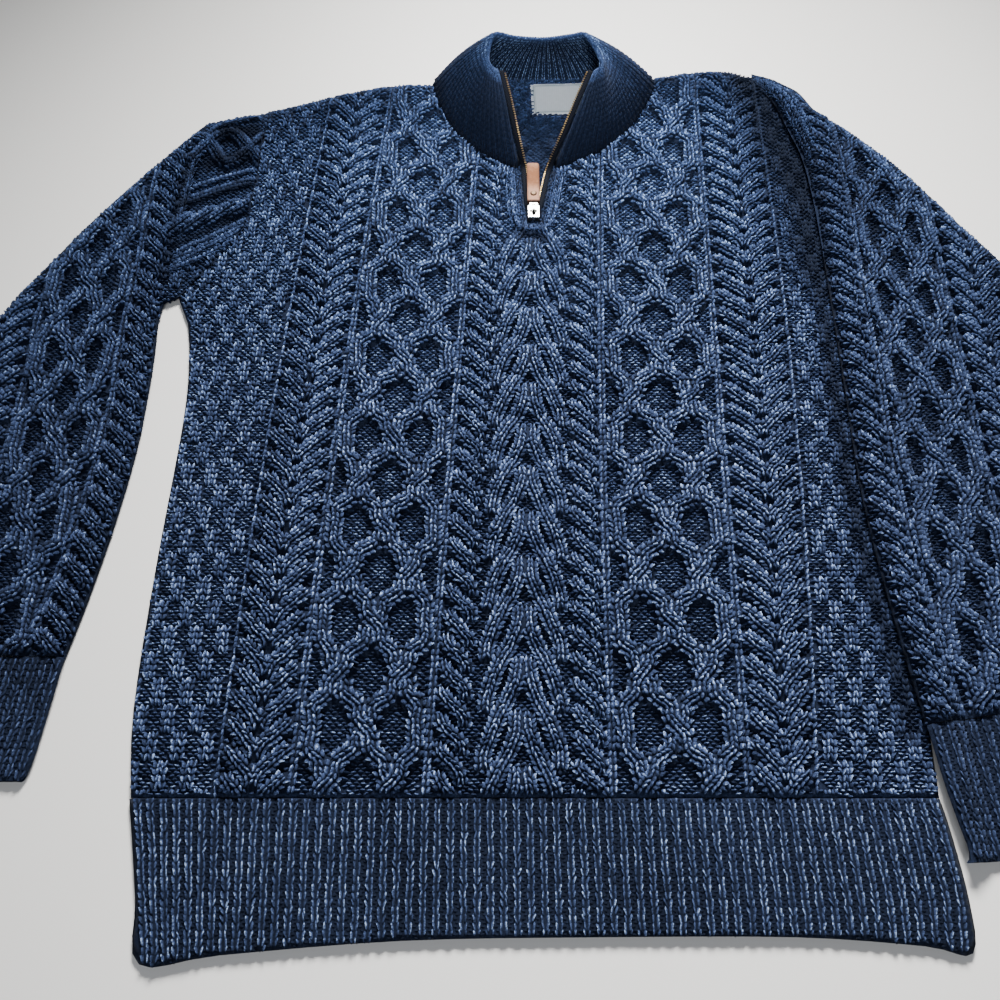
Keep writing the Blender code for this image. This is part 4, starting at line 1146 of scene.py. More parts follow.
def sleevePattern(side, sheet, innerRun, lowY, highY, cap):
    line = np.array(sorted((y, x) for x, y in smoothRun(innerRun, 4)))

    def inner(y):
        return np.interp(y, line[:, 0], line[:, 1])

    def out(amount):
        return lambda y: inner(y) + side * amount

    def between(a, b):
        # the lower x first
        return (out(b), out(a)) if side < 0 else (out(a), out(b))

    ropePhase, latticePhase, vPhase = sleeve["phases"][side]
    strands = rope(out(sleeve["ropeAt"]), lowY, highY, ropePhase)
    strands += lattice(*between(sleeve["ridgeAt"], sleeve["ridgeTwoAt"]), lowY, highY, latticePhase)
    strands += vCable(*between(sleeve["ridgeTwoAt"], sleeve["cableEnd"] + 0.003), lowY, highY, vPhase)
    store = Stitches()
    for at in (sleeve["ridgeAt"], sleeve["ridgeTwoAt"]):
        ridge(out(at), lowY, highY, (-gauge["ridgeApart"], gauge["ridgeApart"]), store, sheet)
    checker = blocks(out(sleeve["cableEnd"] + 0.003), side, lowY, highY, body["blockPhase"], 0.070, store,
                     sheet)
    if cap is not None:
        sheet.relief[cap(sheet.x, sheet.y)] = 0.0
        strands = [s for s in strands if not cap(*s.path[len(s.path) // 2])]
        store.keep(lambda x, y: ~cap(x, y))
        # the folded cap: its bands lie across, as the sleeve turns into the armhole
        for n in range(5):
            x = -0.296 + n * 0.0184
            y = 0.2130 + (x + 0.246) * 0.42
            slant = ((-0.013, -0.011), (-0.008, -0.008), (0.0, 0.0), (0.008, 0.008), (0.013, 0.011))
            strands.append(Strand([(x + u, y + v) for u, v in slant], half=0.0052))
        for low, high in ((0.262, 0.300), (0.300, 0.262)):
            strands.append(Strand([(-0.298, low), (-0.280, (low + high) / 2 + 0.008), (-0.262, high),
                                   (-0.244, (low + high) / 2), (-0.230, low)], half=0.0050))
        for y in (0.2020, 0.1962, 0.1904, 0.1846):
            strands.append(Strand([(-0.2960, y - 0.0420), (-0.2650, y - 0.0235), (-0.2330, y)], half=0.0028,
                                  rise=0.0022, wales=0, endDip=0.003))
        for y in (0.2400, 0.2450, 0.2560):
            strands.append(Strand([(-0.298, y - 0.026), (-0.270, y - 0.013), (-0.234, y + 0.002)],
                                  half=0.0022,
                                  rise=0.0024, wales=0))
        strands.append(Strand([(-0.2945, 0.1850), (-0.2925, 0.2220), (-0.2890, 0.2700), (-0.2790, 0.3030),
                               (-0.2590, 0.3170), (-0.2370, 0.3210)], half=0.0034, rise=0.0040, wales=0.0014))

        def belowChains(x, y):
            return cap(x, y) & (y < 0.1790 + (x + 0.2330) * 0.68)

        corner = Stitches()
        before = sheet.relief.copy()
        checkerCap = blocks(lambda y: -0.2330 + 0.0 * y, -1, 0.115, 0.185, body["blockPhase"], 0.060,
                            corner, sheet)
        sheet.relief = np.where(belowChains(sheet.x, sheet.y), sheet.relief, before)
        corner.keep(belowChains)
        store.rows += corner.rows
    if side > 0:
        fold = np.array(rightShoulderFold[1:])
        for aside in (0.0050, 0.0110, 0.0170):
            strands.append(Strand(fold + np.array((aside * 0.93, aside * 0.36)), half=0.0030, rise=0.0034,
                                  endDip=0.008, wales=0.0011))
    for strand in strands:
        strand.stamp(sheet)
    for strand in strands:
        strand.knit(sheet, store)

    def skip(x, y):
        beside = np.zeros(len(x), bool)
        for at in (sleeve["ridgeAt"], sleeve["ridgeTwoAt"]):
            beside |= np.abs(x - out(at)(y)) < 0.0045
        beside |= checker(x, y) & ((x - out(sleeve["cableEnd"])(y)) * side > 0)
        if cap is not None:
            beside = np.where(cap(x, y), belowChains(x, y) & checkerCap(x, y), beside)
        return beside

    ground = Stitches()
    purl(sheet, ground, ((-0.20, lowY), (0.20, highY)), skip, inner)
    return store, ground


def makeSleeve(name, side, outline, innerRun, outerRun, cuffLine, armholeRun, under, cap, knit,
               innerFold=None):
    low, high = outline.min(0) - 0.006, outline.max(0) + 0.006
    upper = Sheet(tuple(low), tuple(high))
    store, ground = sleevePattern(side, upper, innerRun, low[1], high[1], cap)
    folds = [smoothRun(innerRun, 4) if innerFold is None else innerFold, smoothRun(outerRun, 4)]
    nearInner, nearOuter = (distanceTo(run, upper.x, upper.y) for run in folds)
    near = np.minimum(nearInner, nearOuter)
    cut = distanceTo(cuffLine, upper.x, upper.y)
    # the cables flatten where the top of the sleeve turns over
    flatter = softStep((upper.y - 0.08) / 0.10) * (1 - softStep(nearOuter / 0.016))
    tip = 0.0 if innerFold is None else softStep((upper.y - 0.330) / 0.040)
    base = under(upper.x) - 0.0026 * tip
    if innerFold is not None:
        # past the end of the shoulder the sleeve falls to the floor
        base = base - 0.0058 * np.exp(-(np.hypot(upper.x - 0.277, upper.y - 0.330) / 0.0165) ** 2)
        base = np.maximum(base, 0.0)
    height = (base + sleeve["ground"] + upper.relief * softStep((near - 0.0010) / 0.0060)
              * (0.3 + 0.7 * softStep(cut / 0.006)) * (1 - 0.70 * flatter)
              - (sleeve["ground"] - sleeve["edge"]) * roll(near, sleeve["foldRadius"])
              - 0.0010 * roll(cut, 0.002) - 0.0044 * tip)
    if innerFold is not None:
        # the top of the sleeve lies lower where it turns over the shoulder
        height = height - 0.0030 * np.exp(-(np.hypot(upper.x - 0.272, upper.y - 0.334) / 0.020) ** 2)
        height = np.maximum(height, base + 0.0026)
    if cap is not None:
        # the cap sinks in soft folds towards the armhole
        sunk = cap(upper.x, upper.y)
        for _ in range(40):
            sunk = sum(around(sunk, 3), sunk) / 5
        wave = np.sin((upper.y * 0.94 + upper.x * 0.34 - 0.03) / 0.030 * math.pi)
        height -= sunk * (0.0010 + 0.0013 * wave)
    upper.settle(height)
    # painted shade down in the sunken cap, then along each sleeve's shaded folds
    if cap is not None:
        upper.lit = upper.lit * (1 - 0.45 * sunk)
    for shaded in sleeveShades[side]:
        upper.shadow(*shaded)
    lower = Sheet(tuple(low), tuple(high))
    lowerHeight = base + 0.0014 + 0.0020 * roll(near, 0.010) - 0.0003 * (upper.relief > 0.001)
    lower.settle(lowerHeight, facing=-1.0)

    top = faceOf(upper, np.maximum(upper.hidden(height, 3) - 0.0006, base + 0.0024))
    bottom = meeting(top, faceOf(lower, lowerHeight, 0.0002), outline, 0.0014)

    def opens(x, y):
        return any(distanceTo(run, np.array([x]), np.array([y]))[0] < 0.0005 for run in (cuffLine,
                                                                                         armholeRun))

    mesh, points = clothMesh(name + "_cloth", outline, top, bottom, 0.0034, 0.009, opens)
    cloth = dress(name + "_cloth", mesh, knit, tone=clothShadeTone(points, outline, 0.05, 0.05),
                  chart=points[:, :2])
    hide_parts(name)
    border = inset(outline, 0.0004)
    pieces = []
    for kept, label, below in ((store, "_stitches", "_underside"), (ground, "_purl", "_underside_purl")):
        half = kept.within(border)
        half.rows[0][:, 6] *= 1 - 0.60 * upper.read(flatter, half.rows[0][:, 0], half.rows[0][:, 1])
        # the sleeves' stitches are painted darker than the front's, as painted shade where the light falls
        # off
        pieces.append(workStitches(name + label, half, upper, knit, tones=(0.20, 0.92)))
        pieces.append(workStitches(name + below, half, lower, knit, form=plainLeg, flip=True,
                                   lift=-0.0002))
    print(name, len(store.all()), "knit", len(ground.all()), "purl")
    return cloth, pieces


# Ribbed bands
rib = {
    "hemCount": 62,
    "cuffCount": 13,
    "collarCount": 76,
    "row": 0.0044,
    "rise": 0.0015,
    "half": 0.0026,
    "legOut": 0.00145,
}


def ribs(lines, lowY, highY, store, ground, sheet):
    ys = np.arange(lowY, highY, rib["row"])
    small = np.arange(lowY, highY, rib["row"] / 2)
    for k, line in enumerate(lines):
        xs = line(np.array([lowY, highY]))
        window = sheet.near((xs.min() - 0.004, lowY), (xs.max() + 0.004, highY))
        far = (sheet.x[window] - line(sheet.y[window])) / rib["half"]
        sheet.lift(window, rib["rise"] * np.sqrt(np.maximum(0.0, 1 - far ** 2)))
        lean = slope(line, ys)
        size = np.hypot(lean, 1)
        for side in (-1, 1):
            store.leg(line(ys) - side * rib["legOut"], ys, lean / size, 1 / size, side, rib["row"] * 1.5,
                      0.0019,
                      0.0014, tilt=6)
        if k + 1 < len(lines):
            x = (line(small) + lines[k + 1](small)) / 2 + np.where(np.arange(len(small)) % 2, 0.0006, -0.0006)
            turn = dice.normal(0, 0.2, len(x))
            ground.put(x, small, np.cos(turn) * 0.0014, np.sin(turn) * 0.0014, -np.sin(turn) * 0.0008,
                       np.cos(turn) * 0.0008, 0.0006)


def bandFace(name, outline, lines, plane, folds, ends, look, upper=True, form=fullLeg, bright=1.0):
    # one face of a flat band of rib: its stitches, and the height of the cloth under them
    low, high = outline.min(0) - 0.004, outline.max(0) + 0.004
    sheet = Sheet(tuple(low), tuple(high))
    store, ground = Stitches(), Stitches()
    ribs(lines, low[1], high[1], store, ground, sheet)
    near, cut = nearest(folds, sheet.x, sheet.y), nearest(ends, sheet.x, sheet.y)
    sign = 1.0 if upper else -1.0
    amount = 1.0 if upper else 0.35
    height = (plane(sheet.x) + sign * (sheet.relief * amount * softStep((near + 0.001) / 0.006)
                                       - 0.0018 * roll(near, 0.010) * amount - 0.0013 * roll(cut,
                                                                                             0.0026)
                                                                                             * amount))
    sheet.settle(height, facing=sign)
    # painted shade down between the ribs, and a painted shadow along the end sewn to the body or sleeve
    sheet.lit = sheet.lit * (0.35 + 0.65 * np.clip(sheet.relief / rib["rise"], 0.0, 1.0))
    sheet.shadow(ends[1], 0.0026, 0.80)
    clothFace = sheet.hidden(height, 1) - 0.0003 if upper else height + 0.0002
    border = inset(outline, 0.0003)
    pieces = []
    for kept, label in ((store, "_ribs"), (ground, "_valleys")):
        # the dashes in the valleys are painted dark, as painted shade
        tones = (0.44 * bright, 1.40 * bright) if label == "_ribs" else (0.08, 0.40)
        pieces.append(workStitches(name + label, kept.within(border), sheet, look, form=form,
                                   flip=not upper, lift=0.0 if upper else -0.0003, tones=tones))
    return faceOf(sheet, clothFace), pieces


def bandCloth(name, node, outline, top, bottom, look, openTest=None):
    mesh, points = clothMesh(name, outline, top, bottom, 0.0030, 0.0060, openTest)
    cloth = dress(name, mesh, look, tone=clothShadeTone(points, outline, 0.05, 0.12),
                  chart=points[:, :2])
    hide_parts(node)
    return cloth


def makeHem(look):
    run = smoothRun(hemRun, 4)
    run[:, 1] = np.minimum(run[:, 1], -0.2845)
    left = np.array(hemRun[:4])[::-1]
    right = np.array(hemRun[9:])

    def column(share):
        def line(y):
            a = np.interp(y, left[:, 1], left[:, 0]) + 0.002
            b = np.interp(y, right[:, 1], right[:, 0]) - 0.002
            straight = -0.256 + 0.518 * share
            pull = np.exp(-share / 0.12)
            push = np.exp(-(1 - share) / 0.12)
            return straight + (a + 0.256) * pull + (b - 0.262) * push
        return line

    lines = [column((k + 0.5) / rib["hemCount"]) for k in range(rib["hemCount"])]
    folds = (run[:13], run[-14:])
    ends = (run[12:-13], np.array(((-0.26, -0.2845), (0.265, -0.2845))))
    front, frontKnit = bandFace("hem_front", run, lines, flatAt(0.0058), folds, ends, look)
    back, backKnit = bandFace("hem_back", run, lines, flatAt(0.0011), folds, ends, look, upper=False,
                              form=plainLeg)
    # each face turns to meet a plain one at the edge
    frontUnder = meeting(front, flatAt(0.0034), run, 0.0014)
    backUnder = meeting(back, flatAt(0.0030), run, 0.0014)
    return ((bandCloth("hem_front_cloth", "hem_rib_front", run, front, frontUnder, look), frontKnit),
            (bandCloth("hem_back_cloth", "hem_rib_back", run, backUnder, back, look), backKnit))


def makeCuffs(look):
    made = {}
    for name, run, under in (("cuff_left", leftCuffRun, level), ("cuff_right", rightCuffRun, climbing)):
        edge = smoothRun(run, 4)
        sides = (np.array(run[:3]), np.array(run[5:]))
        lefts, rights = sorted((s[np.argsort(s[:, 1])] for s in sides), key=lambda s: s[0, 0])

        def column(share, lefts=lefts, rights=rights):
            def line(y):
                a = np.interp(y, lefts[:, 1], lefts[:, 0])
                b = np.interp(y, rights[:, 1], rights[:, 0])
                return a + (b - a) * share
            return line

        lines = [column((k + 0.5) / rib["cuffCount"]) for k in range(rib["cuffCount"])]
        folds = (edge[:9], edge[-9:])
        ends = (edge[8:-8], np.array((run[0], run[-1])))
        # the cuffs' ribs are painted darker, as painted shade where the light falls off at the sleeve ends
        top, topKnit = bandFace(name, edge, lines, lambda x, under=under: under(x) + 0.0062, folds, ends,
                                look,
                                bright=0.56)
        low, lowKnit = bandFace(name + "_under", edge, lines, lambda x, under=under: under(x) + 0.0012,
                                folds, ends,
                                look, upper=False, form=plainLeg)

        def opens(x, y, ends=ends):
            return any(distanceTo(end, np.array([x]), np.array([y]))[0] < 0.0005 for end in ends)

        def bottom(x, y, low=low, top=top, sides=folds):
            near = nearest(sides, x, y)
            return low(x, y) + (top(x, y) - low(x, y)) * 0.5 * fading(near, 0.0016)

        made[name] = (bandCloth(name + "_cloth", name, edge, top, bottom, look, opens), topKnit + lowKnit)
    return made


# Collar
collarSeam = ((-0.0032, 0.2620, 0.00675), (-0.0160, 0.2665, 0.00675), (-0.0380, 0.2820, 0.00675),
              (-0.0605, 0.3090, 0.00675), (-0.0785, 0.3550, 0.00675), (-0.0740, 0.3720, 0.00670),
              (-0.0450, 0.3765, 0.00400), (0.0200, 0.3770, 0.00340), (0.0900, 0.3770, 0.00400),
              (0.1180, 0.3720, 0.00670), (0.1215, 0.3600, 0.00675), (0.1135, 0.3410, 0.00675),
              (0.0955, 0.3090, 0.00675), (0.0690, 0.2820, 0.00675), (0.0400, 0.2665, 0.00675),
              (0.0282, 0.2620, 0.00675))
collarRim = ((-0.0215, 0.3270, 0.0530), (-0.0265, 0.3280, 0.0555), (-0.0295, 0.3320, 0.0595),
             (-0.0300, 0.3380, 0.0640), (-0.0280, 0.3450, 0.0685), (-0.0230, 0.3500, 0.0725),
             (-0.0060, 0.3490, 0.0695), (0.0190, 0.3490, 0.0680), (0.0420, 0.3500, 0.0705),
             (0.0520, 0.3490, 0.0730), (0.0585, 0.3450, 0.0690), (0.0630, 0.3410, 0.0650),
             (0.0665, 0.3370, 0.0620), (0.0685, 0.3320, 0.0590), (0.0670, 0.3280, 0.0555),
             (0.0620, 0.3260, 0.0530))
collar = {
    "wall": 0.0030,
    "bulge": 0.0035,
    "ribRise": 0.0011,
    "rows": 15,
    "perRib": 8,
}


def runAt(run, t):
    p = np.array(run, float)
    t = np.clip(np.asarray(t, float), 0.0, len(p) - 1.0)
    k = np.minimum(t.astype(int), len(p) - 2)
    f = (t - k)[:, None]
    p0, p1, p2, p3 = (p[np.clip(k + i, 0, len(p) - 1)] for i in (-1, 0, 1, 2))
    return (2 * p1 + (p2 - p0) * f + (2 * p0 - 5 * p1 + 4 * p2 - p3) * f ** 2
            + (3 * p1 - p0 - 3 * p2 + p3) * f ** 3) / 2


def unit(v):
    return v / np.maximum(np.linalg.norm(v, axis=-1, keepdims=True), 1e-9)


def collarShares(count):
    fine = np.linspace(0, len(collarSeam) - 1, 1201)
    lengths = np.concatenate([[0.0], np.cumsum(np.linalg.norm(np.diff(runAt(collarSeam, fine), axis=0),
                                                              axis=1))])
    return np.interp(np.linspace(0, lengths[-1], count + 1), lengths, fine)


def collarFrame(t, share):
    # middle surface of the collar, with its outward direction
    foot, head = runAt(collarSeam, t), runAt(collarRim, t)
    along = unit(unit(runAt(collarSeam, t + 0.02) - runAt(collarSeam, t - 0.02)) * (1 - share)
                 + unit(runAt(collarRim, t + 0.02) - runAt(collarRim, t - 0.02)) * share)
    out = unit(np.cross(head - foot, along))
    point = foot + (head - foot) * share + out * collar["bulge"] * math.sin(math.pi * share)
    if share < 0.12:
        flat = out * np.array((1.0, 1.0, 0.0))
        flat = unit(flat) / np.maximum(np.linalg.norm(flat, axis=1), 0.6)[:, None]
        out = flat + (out - flat) * share / 0.12
    return point, out


def volume(points, quads):
    a, b, c, d = (points[quads[:, k]] for k in range(4))
    return float((a * np.cross(b, c)).sum() + (a * np.cross(c, d)).sum())


def outwards(points, quads):
    return quads[:, ::-1] if volume(points, quads) < 0 else quads


def tube(rings):
    # a closed skin over a row of rings, with flat ends
    count, sides = rings.shape[:2]
    index = np.arange(count * sides).reshape(count, sides)
    a, b = index[:-1], index[1:]
    quads = np.stack([a, np.roll(a, -1, 1), np.roll(b, -1, 1), b], -1).reshape(-1, 4)
    ends = [(ring[k], ring[k + 1], ring[sides - 2 - k], ring[sides - 1 - k])[::turn]
            for ring, turn in ((index[0], -1), (index[-1], 1)) for k in range(sides // 2 - 1)]
    points = rings.reshape(-1, 3)
    return points, outwards(points, np.vstack([quads, ends]))


class Wrap:
    # a curved band of knitting: u runs along it and v up it, both from 0 to 1
    def __init__(self, places, outs, lit):
        self.places = places
        self.outs = outs
        self.lit = lit

    def read(self, field, u, v):
        nu, nv = field.shape[:2]
        u = np.clip(u, 0, 1) * (nu - 1)
        v = np.clip(v, 0, 1) * (nv - 1)
        i, j = np.minimum(u.astype(int), nu - 2), np.minimum(v.astype(int), nv - 2)
        u, v = (u - i)[:, None], (v - j)[:, None]
        return ((field[i, j] * (1 - u) + field[i + 1, j] * u) * (1 - v)
                + (field[i, j + 1] * (1 - u) + field[i + 1, j + 1] * u) * v)

    def litAt(self, u, v):
        return self.read(self.lit, u, v)[:, 0]

    def at(self, u, v, lift):
        return self.read(self.places, u, v) + self.read(self.outs, u, v) * lift[:, None]


def makeCollar(look):
    count = rib["collarCount"] * collar["perRib"]
    t = collarShares(count)
    shares = np.linspace(0, 1, 13)
    middle, outs = (np.stack(layer, 1) for layer in zip(*(collarFrame(t, share) for share in shares)))
    wave = np.cos((np.arange(count + 1) / collar["perRib"] - 0.5) * math.tau)[:, None, None]
    shrink = (1 - 0.6 * shares)[None, :, None]
    faces = {}
    for side in (1, -1):
        ripple = collar["ribRise"] * shrink * (0.5 + 0.5 * wave * side)
        faces[side] = middle + outs * side * (collar["wall"] / 2 + ripple)
    up = unit(middle[:, -1] - middle[:, -2])
    arc = []
    for angle in (35, 90, 145):
        a = math.radians(angle)
        reach = (faces[1][:, -1] - faces[-1][:, -1]) / 2
        arc.append((faces[1][:, -1] + faces[-1][:, -1]) / 2 + reach * math.cos(a) + up * 0.0018 * math.sin(a))
    rings = np.concatenate([faces[1], np.stack(arc, 1), faces[-1][:, ::-1]], 1)
    across = rings.shape[1]
    points, quads = tube(rings)
    mesh = rawMesh("collar_cloth", points, quads, ())
    u = np.repeat(np.arange(count + 1) / count * 3.2, across)
    v = np.tile(np.arange(across) / across, count + 1)
    # the cloth is painted near black under the ribs, as the shade between the stitches, and lighter over the
    # rim where it shows
    rim = np.abs(np.arange(across) - len(shares) - 1) < 3.5
    tone = np.tile(np.where(rim, 0.50, 0.10), count + 1) * dice.uniform(0.7, 1.2, len(points))
    cloth = dress("collar_cloth", mesh, look, tone=tone, chart=np.stack([u, v], -1))
    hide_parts("collar")

    pieces = []
    ribWide = 1.0 / rib["collarCount"]
    rows = collar["rows"]
    for side, name in ((1, "collar_outside"), (-1, "collar_inside")):
        crest = 0.5 + 0.5 * wave * side
        # painted shade between the ribs: each rib's crest is painted lighter than its hollow
        lit = 0.25 + 0.75 * crest ** 0.7
        if side > 0:
            # the fronts lie in the shade of the zip edge, and the foot in that of the body
            ends = np.minimum(np.arange(count + 1), np.arange(count + 1)[::-1])[:, None, None] / count
            up = shares[None, :, None]
            low = 1 - 0.94 * np.exp(-(ends / 0.18) ** 2) * (1 - 0.80 * softStep((up - 0.84) / 0.16))
            lit = lit * low * (1 - 0.70 * np.exp(-(up / 0.22) ** 2))
            # painted light: lighter towards the rim
            lit = lit * (0.80 + 0.90 * softStep((up - 0.55) / 0.45))
        wrap = Wrap(faces[side], outs * side, lit * np.ones((count + 1, len(shares), 1)))
        store = Stitches()
        shift = 0.5 if side > 0 else 0.0
        for k in range(rib["collarCount"] + (side < 0)):
            v = (np.arange(rows) + 0.5) / rows
            for leg in (-1, 1):
                u = np.full(rows, (k + shift + leg * 0.17) * ribWide)
                good = (u > 0.002) & (u < 0.998)
                n = int(good.sum())
                lean = leg * 0.06 * ribWide * np.ones(n)
                store.put(u[good], v[good] + dice.normal(0, 0.004, n), lean, 0.62 / rows * np.ones(n),
                          ribWide * 0.155 * np.ones(n), np.zeros(n), (0.0011 * (1 - 0.45 * v))[good])
            w = (np.arange(rows * 2) + 0.5) / rows / 2
            aside = np.where(np.arange(rows * 2) % 2, 0.05, -0.05) * ribWide
            u = np.full(rows * 2, (k + shift + 0.5) * ribWide) + aside
            good = (u > 0.004) & (u < 0.996)
            n = int(good.sum())
            store.put(u[good], w[good], ribWide * 0.17 * np.ones(n), np.zeros(n), np.zeros(n),
                      0.17 / rows * np.ones(n), (0.0006 * (1 - 0.5 * w))[good])
        pu = wrap.places[40, 6] - wrap.places[39, 6]
        pv = wrap.places[40, 7] - wrap.places[40, 6]
        flip = float(np.dot(np.cross(pu, pv), wrap.outs[40, 6])) < 0
        # the inside's stitches are painted much lighter than the outside's: painted light on the inner back
        # of the collar
        pieces.append(workStitches(name, store, wrap, look, flip=flip,
                                   tones=(0.40, 0.86) if side > 0 else (0.95, 1.8)))
    print("collar", len(points))
    return cloth, pieces


# Zip: two woven tapes that stand open up the collar, with brass teeth along the opening
tape = {
    "low": 0.0050,
    "thick": 0.0012,
    "wide": 0.0048,
    "endGap": 0.00045,
    "footGap": 0.0011,
    "toothPitch": 0.0020,
    "tooth": (0.00085, 0.00045, 0.0010),  # half across, half along, half thick
    "cloth": (0.0035, 0.0045, 0.0080),
    "brass": (0.46, 0.32, 0.15),
}
tapePathLeft = ((0.0060, 0.1990), (0.0052, 0.2100), (0.0036, 0.2220), (0.0012, 0.2570))
tapePathRight = ((0.0120, 0.1990), (0.0128, 0.2100), (0.0160, 0.2220), (0.0192, 0.2390), (0.0230, 0.2570))


def tapeRun(path, end, side):
    # middle, across and outward direction, up the front and then up the end of the collar
    places = [np.array((x, y, tape["low"] + tape["thick"] / 2)) for x, y in path]
    acrosses = [np.array((1.0, 0.0, 0.0))] * len(path)
    outs = [np.array((0.0, 0.0, 1.0))] * len(path)
    rise = np.array(collarRim[end]) - np.array(collarSeam[end])
    for share in (0.10, 1 / 3, 2 / 3, 1.0):
        point, out = collarFrame(np.array([float(end)]), share)
        across = unit(np.cross(rise, out[0]))
        clear = tape["wide"] / 2 + tape["endGap"] + tape["footGap"] * (1 - share) ** 2
        places.append(point[0] + across * side * clear)
        acrosses.append(across)
        outs.append(out[0])
    middle, across, out = (smoothRun(run, 8) for run in (places, acrosses, outs))
    return middle, unit(across), unit(out)


def makeTape(name, path, end, side, weave, brass):
    middle, across, out = tapeRun(path, end, side)
    profile = ((-1, -0.5), (-0.92, -0.9), (0, -1), (0.92, -0.9), (1, -0.5), (1, 0.5), (0.92, 0.9), (0, 1),
               (-0.92, 0.9), (-1, 0.5))
    half, thick = tape["wide"] / 2, tape["thick"] / 2
    rings = np.stack([middle + across * a * half + out * b * thick for a, b in profile], 1)
    count, sides = rings.shape[:2]
    reach = np.concatenate([[0.0], np.cumsum(np.linalg.norm(np.diff(middle, axis=0), axis=1))])
    chart = np.stack([np.repeat(reach, sides), np.tile(np.arange(sides) * 0.0011, count)], -1)
    points, quads = tube(rings)
    cloth = dress(name + "_cloth", rawMesh(name + "_cloth", points, quads, ()), weave,
                  chart=chart)
    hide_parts(name)

    # teeth
    s = np.arange(0.0135, reach[-1] - 0.0012, tape["toothPitch"])

    def at(s, run):
        return np.stack([np.interp(s, reach, run[:, k]) for k in range(3)], -1)

    middles, acrosses, outs = (at(s, run) for run in (middle, across, out))
    along = unit(at(s + 0.001, middle) - at(s - 0.001, middle))
    wide, deep, high = tape["tooth"]
    corners = np.array([(u * size, v * size, rise) for size, rise in ((1.0, -0.8), (1.0, 0.45), (0.62, 1.0))
                        for u, v in ((-1, -1), (1, -1), (1, 1), (-1, 1))])
    centre = middles + acrosses * side * (half + wide * 0.15)
    block = (centre[:, None] + acrosses[:, None] * corners[None, :, 0:1] * wide
             + along[:, None] * corners[None, :, 1:2] * deep + outs[:, None] * corners[None, :, 2:3] * high)
    faces = [(3, 2, 1, 0), (8, 9, 10, 11)]
    for ring in (0, 4):
        faces += [(ring + k, ring + (k + 1) % 4, ring + 4 + (k + 1) % 4, ring + 4 + k) for k in range(4)]
    quads = (np.arange(len(s)) * 12)[:, None, None] + np.array(faces)[None]
    quads = quads.reshape(-1, 4)
    points = block.reshape(-1, 3)
    mesh = rawMesh(name + "_teeth", points, outwards(points, quads), ())
    mesh.polygons.foreach_set("use_smooth", np.zeros(len(mesh.polygons), bool))
    teeth = dress(name + "_teeth", mesh, brass,
                  chart=np.stack([np.repeat(s, 12), np.tile(np.arange(12) * 0.0004, len(s))], -1))
    return cloth, teeth


def wovenFinish(name, colour, threads=2600.0, rough=0.8):
    # a fine plain weave, with a little wear in the colour
    finish = Finish(name)
    x, y, z = finish.axes()
    weave = (x * threads).sine() * (y * threads).sine()
    worn = finish.noise(160.0, 3.0)
    dark, light = shade(colour, 0.55), shade(colour, 1.5)
    finish.set(Base_Color=finish.blend((worn * 0.6 + weave * 0.35 + 0.2).held(), dark, light),
               Roughness=rough,
               Specular_IOR_Level=0.05)
    finish.bump(weave, 0.5, 0.00025)
    return finish.material


def metalFinish(name, colour, rough, dark=0.55, window=None):
    # cast metal with rubbed edges and dull hollows; a window is a place, seen from above, painted dark as the
    # shade inside the slider's hole
    finish = Finish(name)
    worn = finish.noise(420.0, 4.0, 0.65)
    tint = finish.blend((worn * 1.6 - 0.3).held(), shade(colour, dark), colour)
    shine = rough + worn * 0.22
    if window:
        x, y, z = finish.axes()
        (middleX, middleY), (halfX, halfY) = window
        inWindowShade = (abs(x - middleX) < halfX) * (abs(y - middleY) < halfY)
        tint = finish.blend(inWindowShade, tint, (0.012, 0.011, 0.010))
        shine = shine + inWindowShade * 0.6
    finish.set(Base_Color=tint, Metallic=1.0, Roughness=shine)
    finish.bump(finish.noise(900.0, 2.0), 0.25, 0.00012)
    return finish.material


# Pull tab of leather, and the sewn label
tab = {
    "middle": 0.0090,
    "half": 0.0054,
    "leather": (0.185, 0.066, 0.022),
    "pale": (0.40, 0.21, 0.135),
    "edge": (0.040, 0.016, 0.009),
    "waist": 0.2460,         # the part of the tab that keeps its colour
    "paleEnds": 0.0160,
    "foot": 0.2178,
    "rivet": 0.2250,
    "ring": 0.0029,
}
label = {
    "middle": (0.0340, 0.3490),
    "size": (0.0500, 0.0400),
    "low": 0.0034,
    "thick": 0.0008,
    "turn": 2.5,
    "cloth": (0.56, 0.61, 0.65),
    "thread": (0.12, 0.20, 0.22),
    "sewing": (0.34, 0.37, 0.40),
}
# Name, colour, roughness, how dark the hollows are, and a window painted dark as the shade inside the
# slider's hole
metals = {
    "zip_slider": ("slider_bright_steel", (0.90, 0.89, 0.86), 0.22, 0.75,
                   ((0.0092, 0.2052), (0.0017, 0.0021))),
    "pull_link": ("link_steel", (0.62, 0.61, 0.58), 0.25, 0.5),
    "pull_rivet": ("rivet_dark_brass", (0.26, 0.17, 0.11), 0.52, 0.35),
}


def leatherFinish(name):
    finish = Finish(name)
    x, y, z = finish.axes()
    grain = finish.node("ShaderNodeTexVoronoi", {}, {"Vector": finish.where(), "Scale": 1500.0},
                        output="Distance")
    stain = finish.noise(260.0, 4.0, 0.6)
    # the sides and the folded foot are dark, the ends paler, and the rivet has bitten a ring
    side = (abs(x - tab["middle"]) / tab["half"]) ** 5.0 * 0.8
    paleEnds = (abs(y - tab["waist"]) / tab["paleEnds"]) ** 3.0
    apart = ((x - tab["middle"]) ** 2.0 + (y - tab["rivet"]) ** 2.0) ** 0.5
    ring = apart < tab["ring"]
    foot = (y < tab["foot"]) * 0.9
    colour = finish.blend((paleEnds + stain * 1.2 - 0.6).held(), tab["leather"], tab["pale"])
    finish.set(Base_Color=finish.blend((side + grain * 0.25 + ring + foot).held(), colour, tab["edge"]),
               Roughness=0.60 + stain * 0.2, Specular_IOR_Level=0.15)
    finish.bump(grain + stain * 0.8, 0.35, 0.0003)
    return finish.material


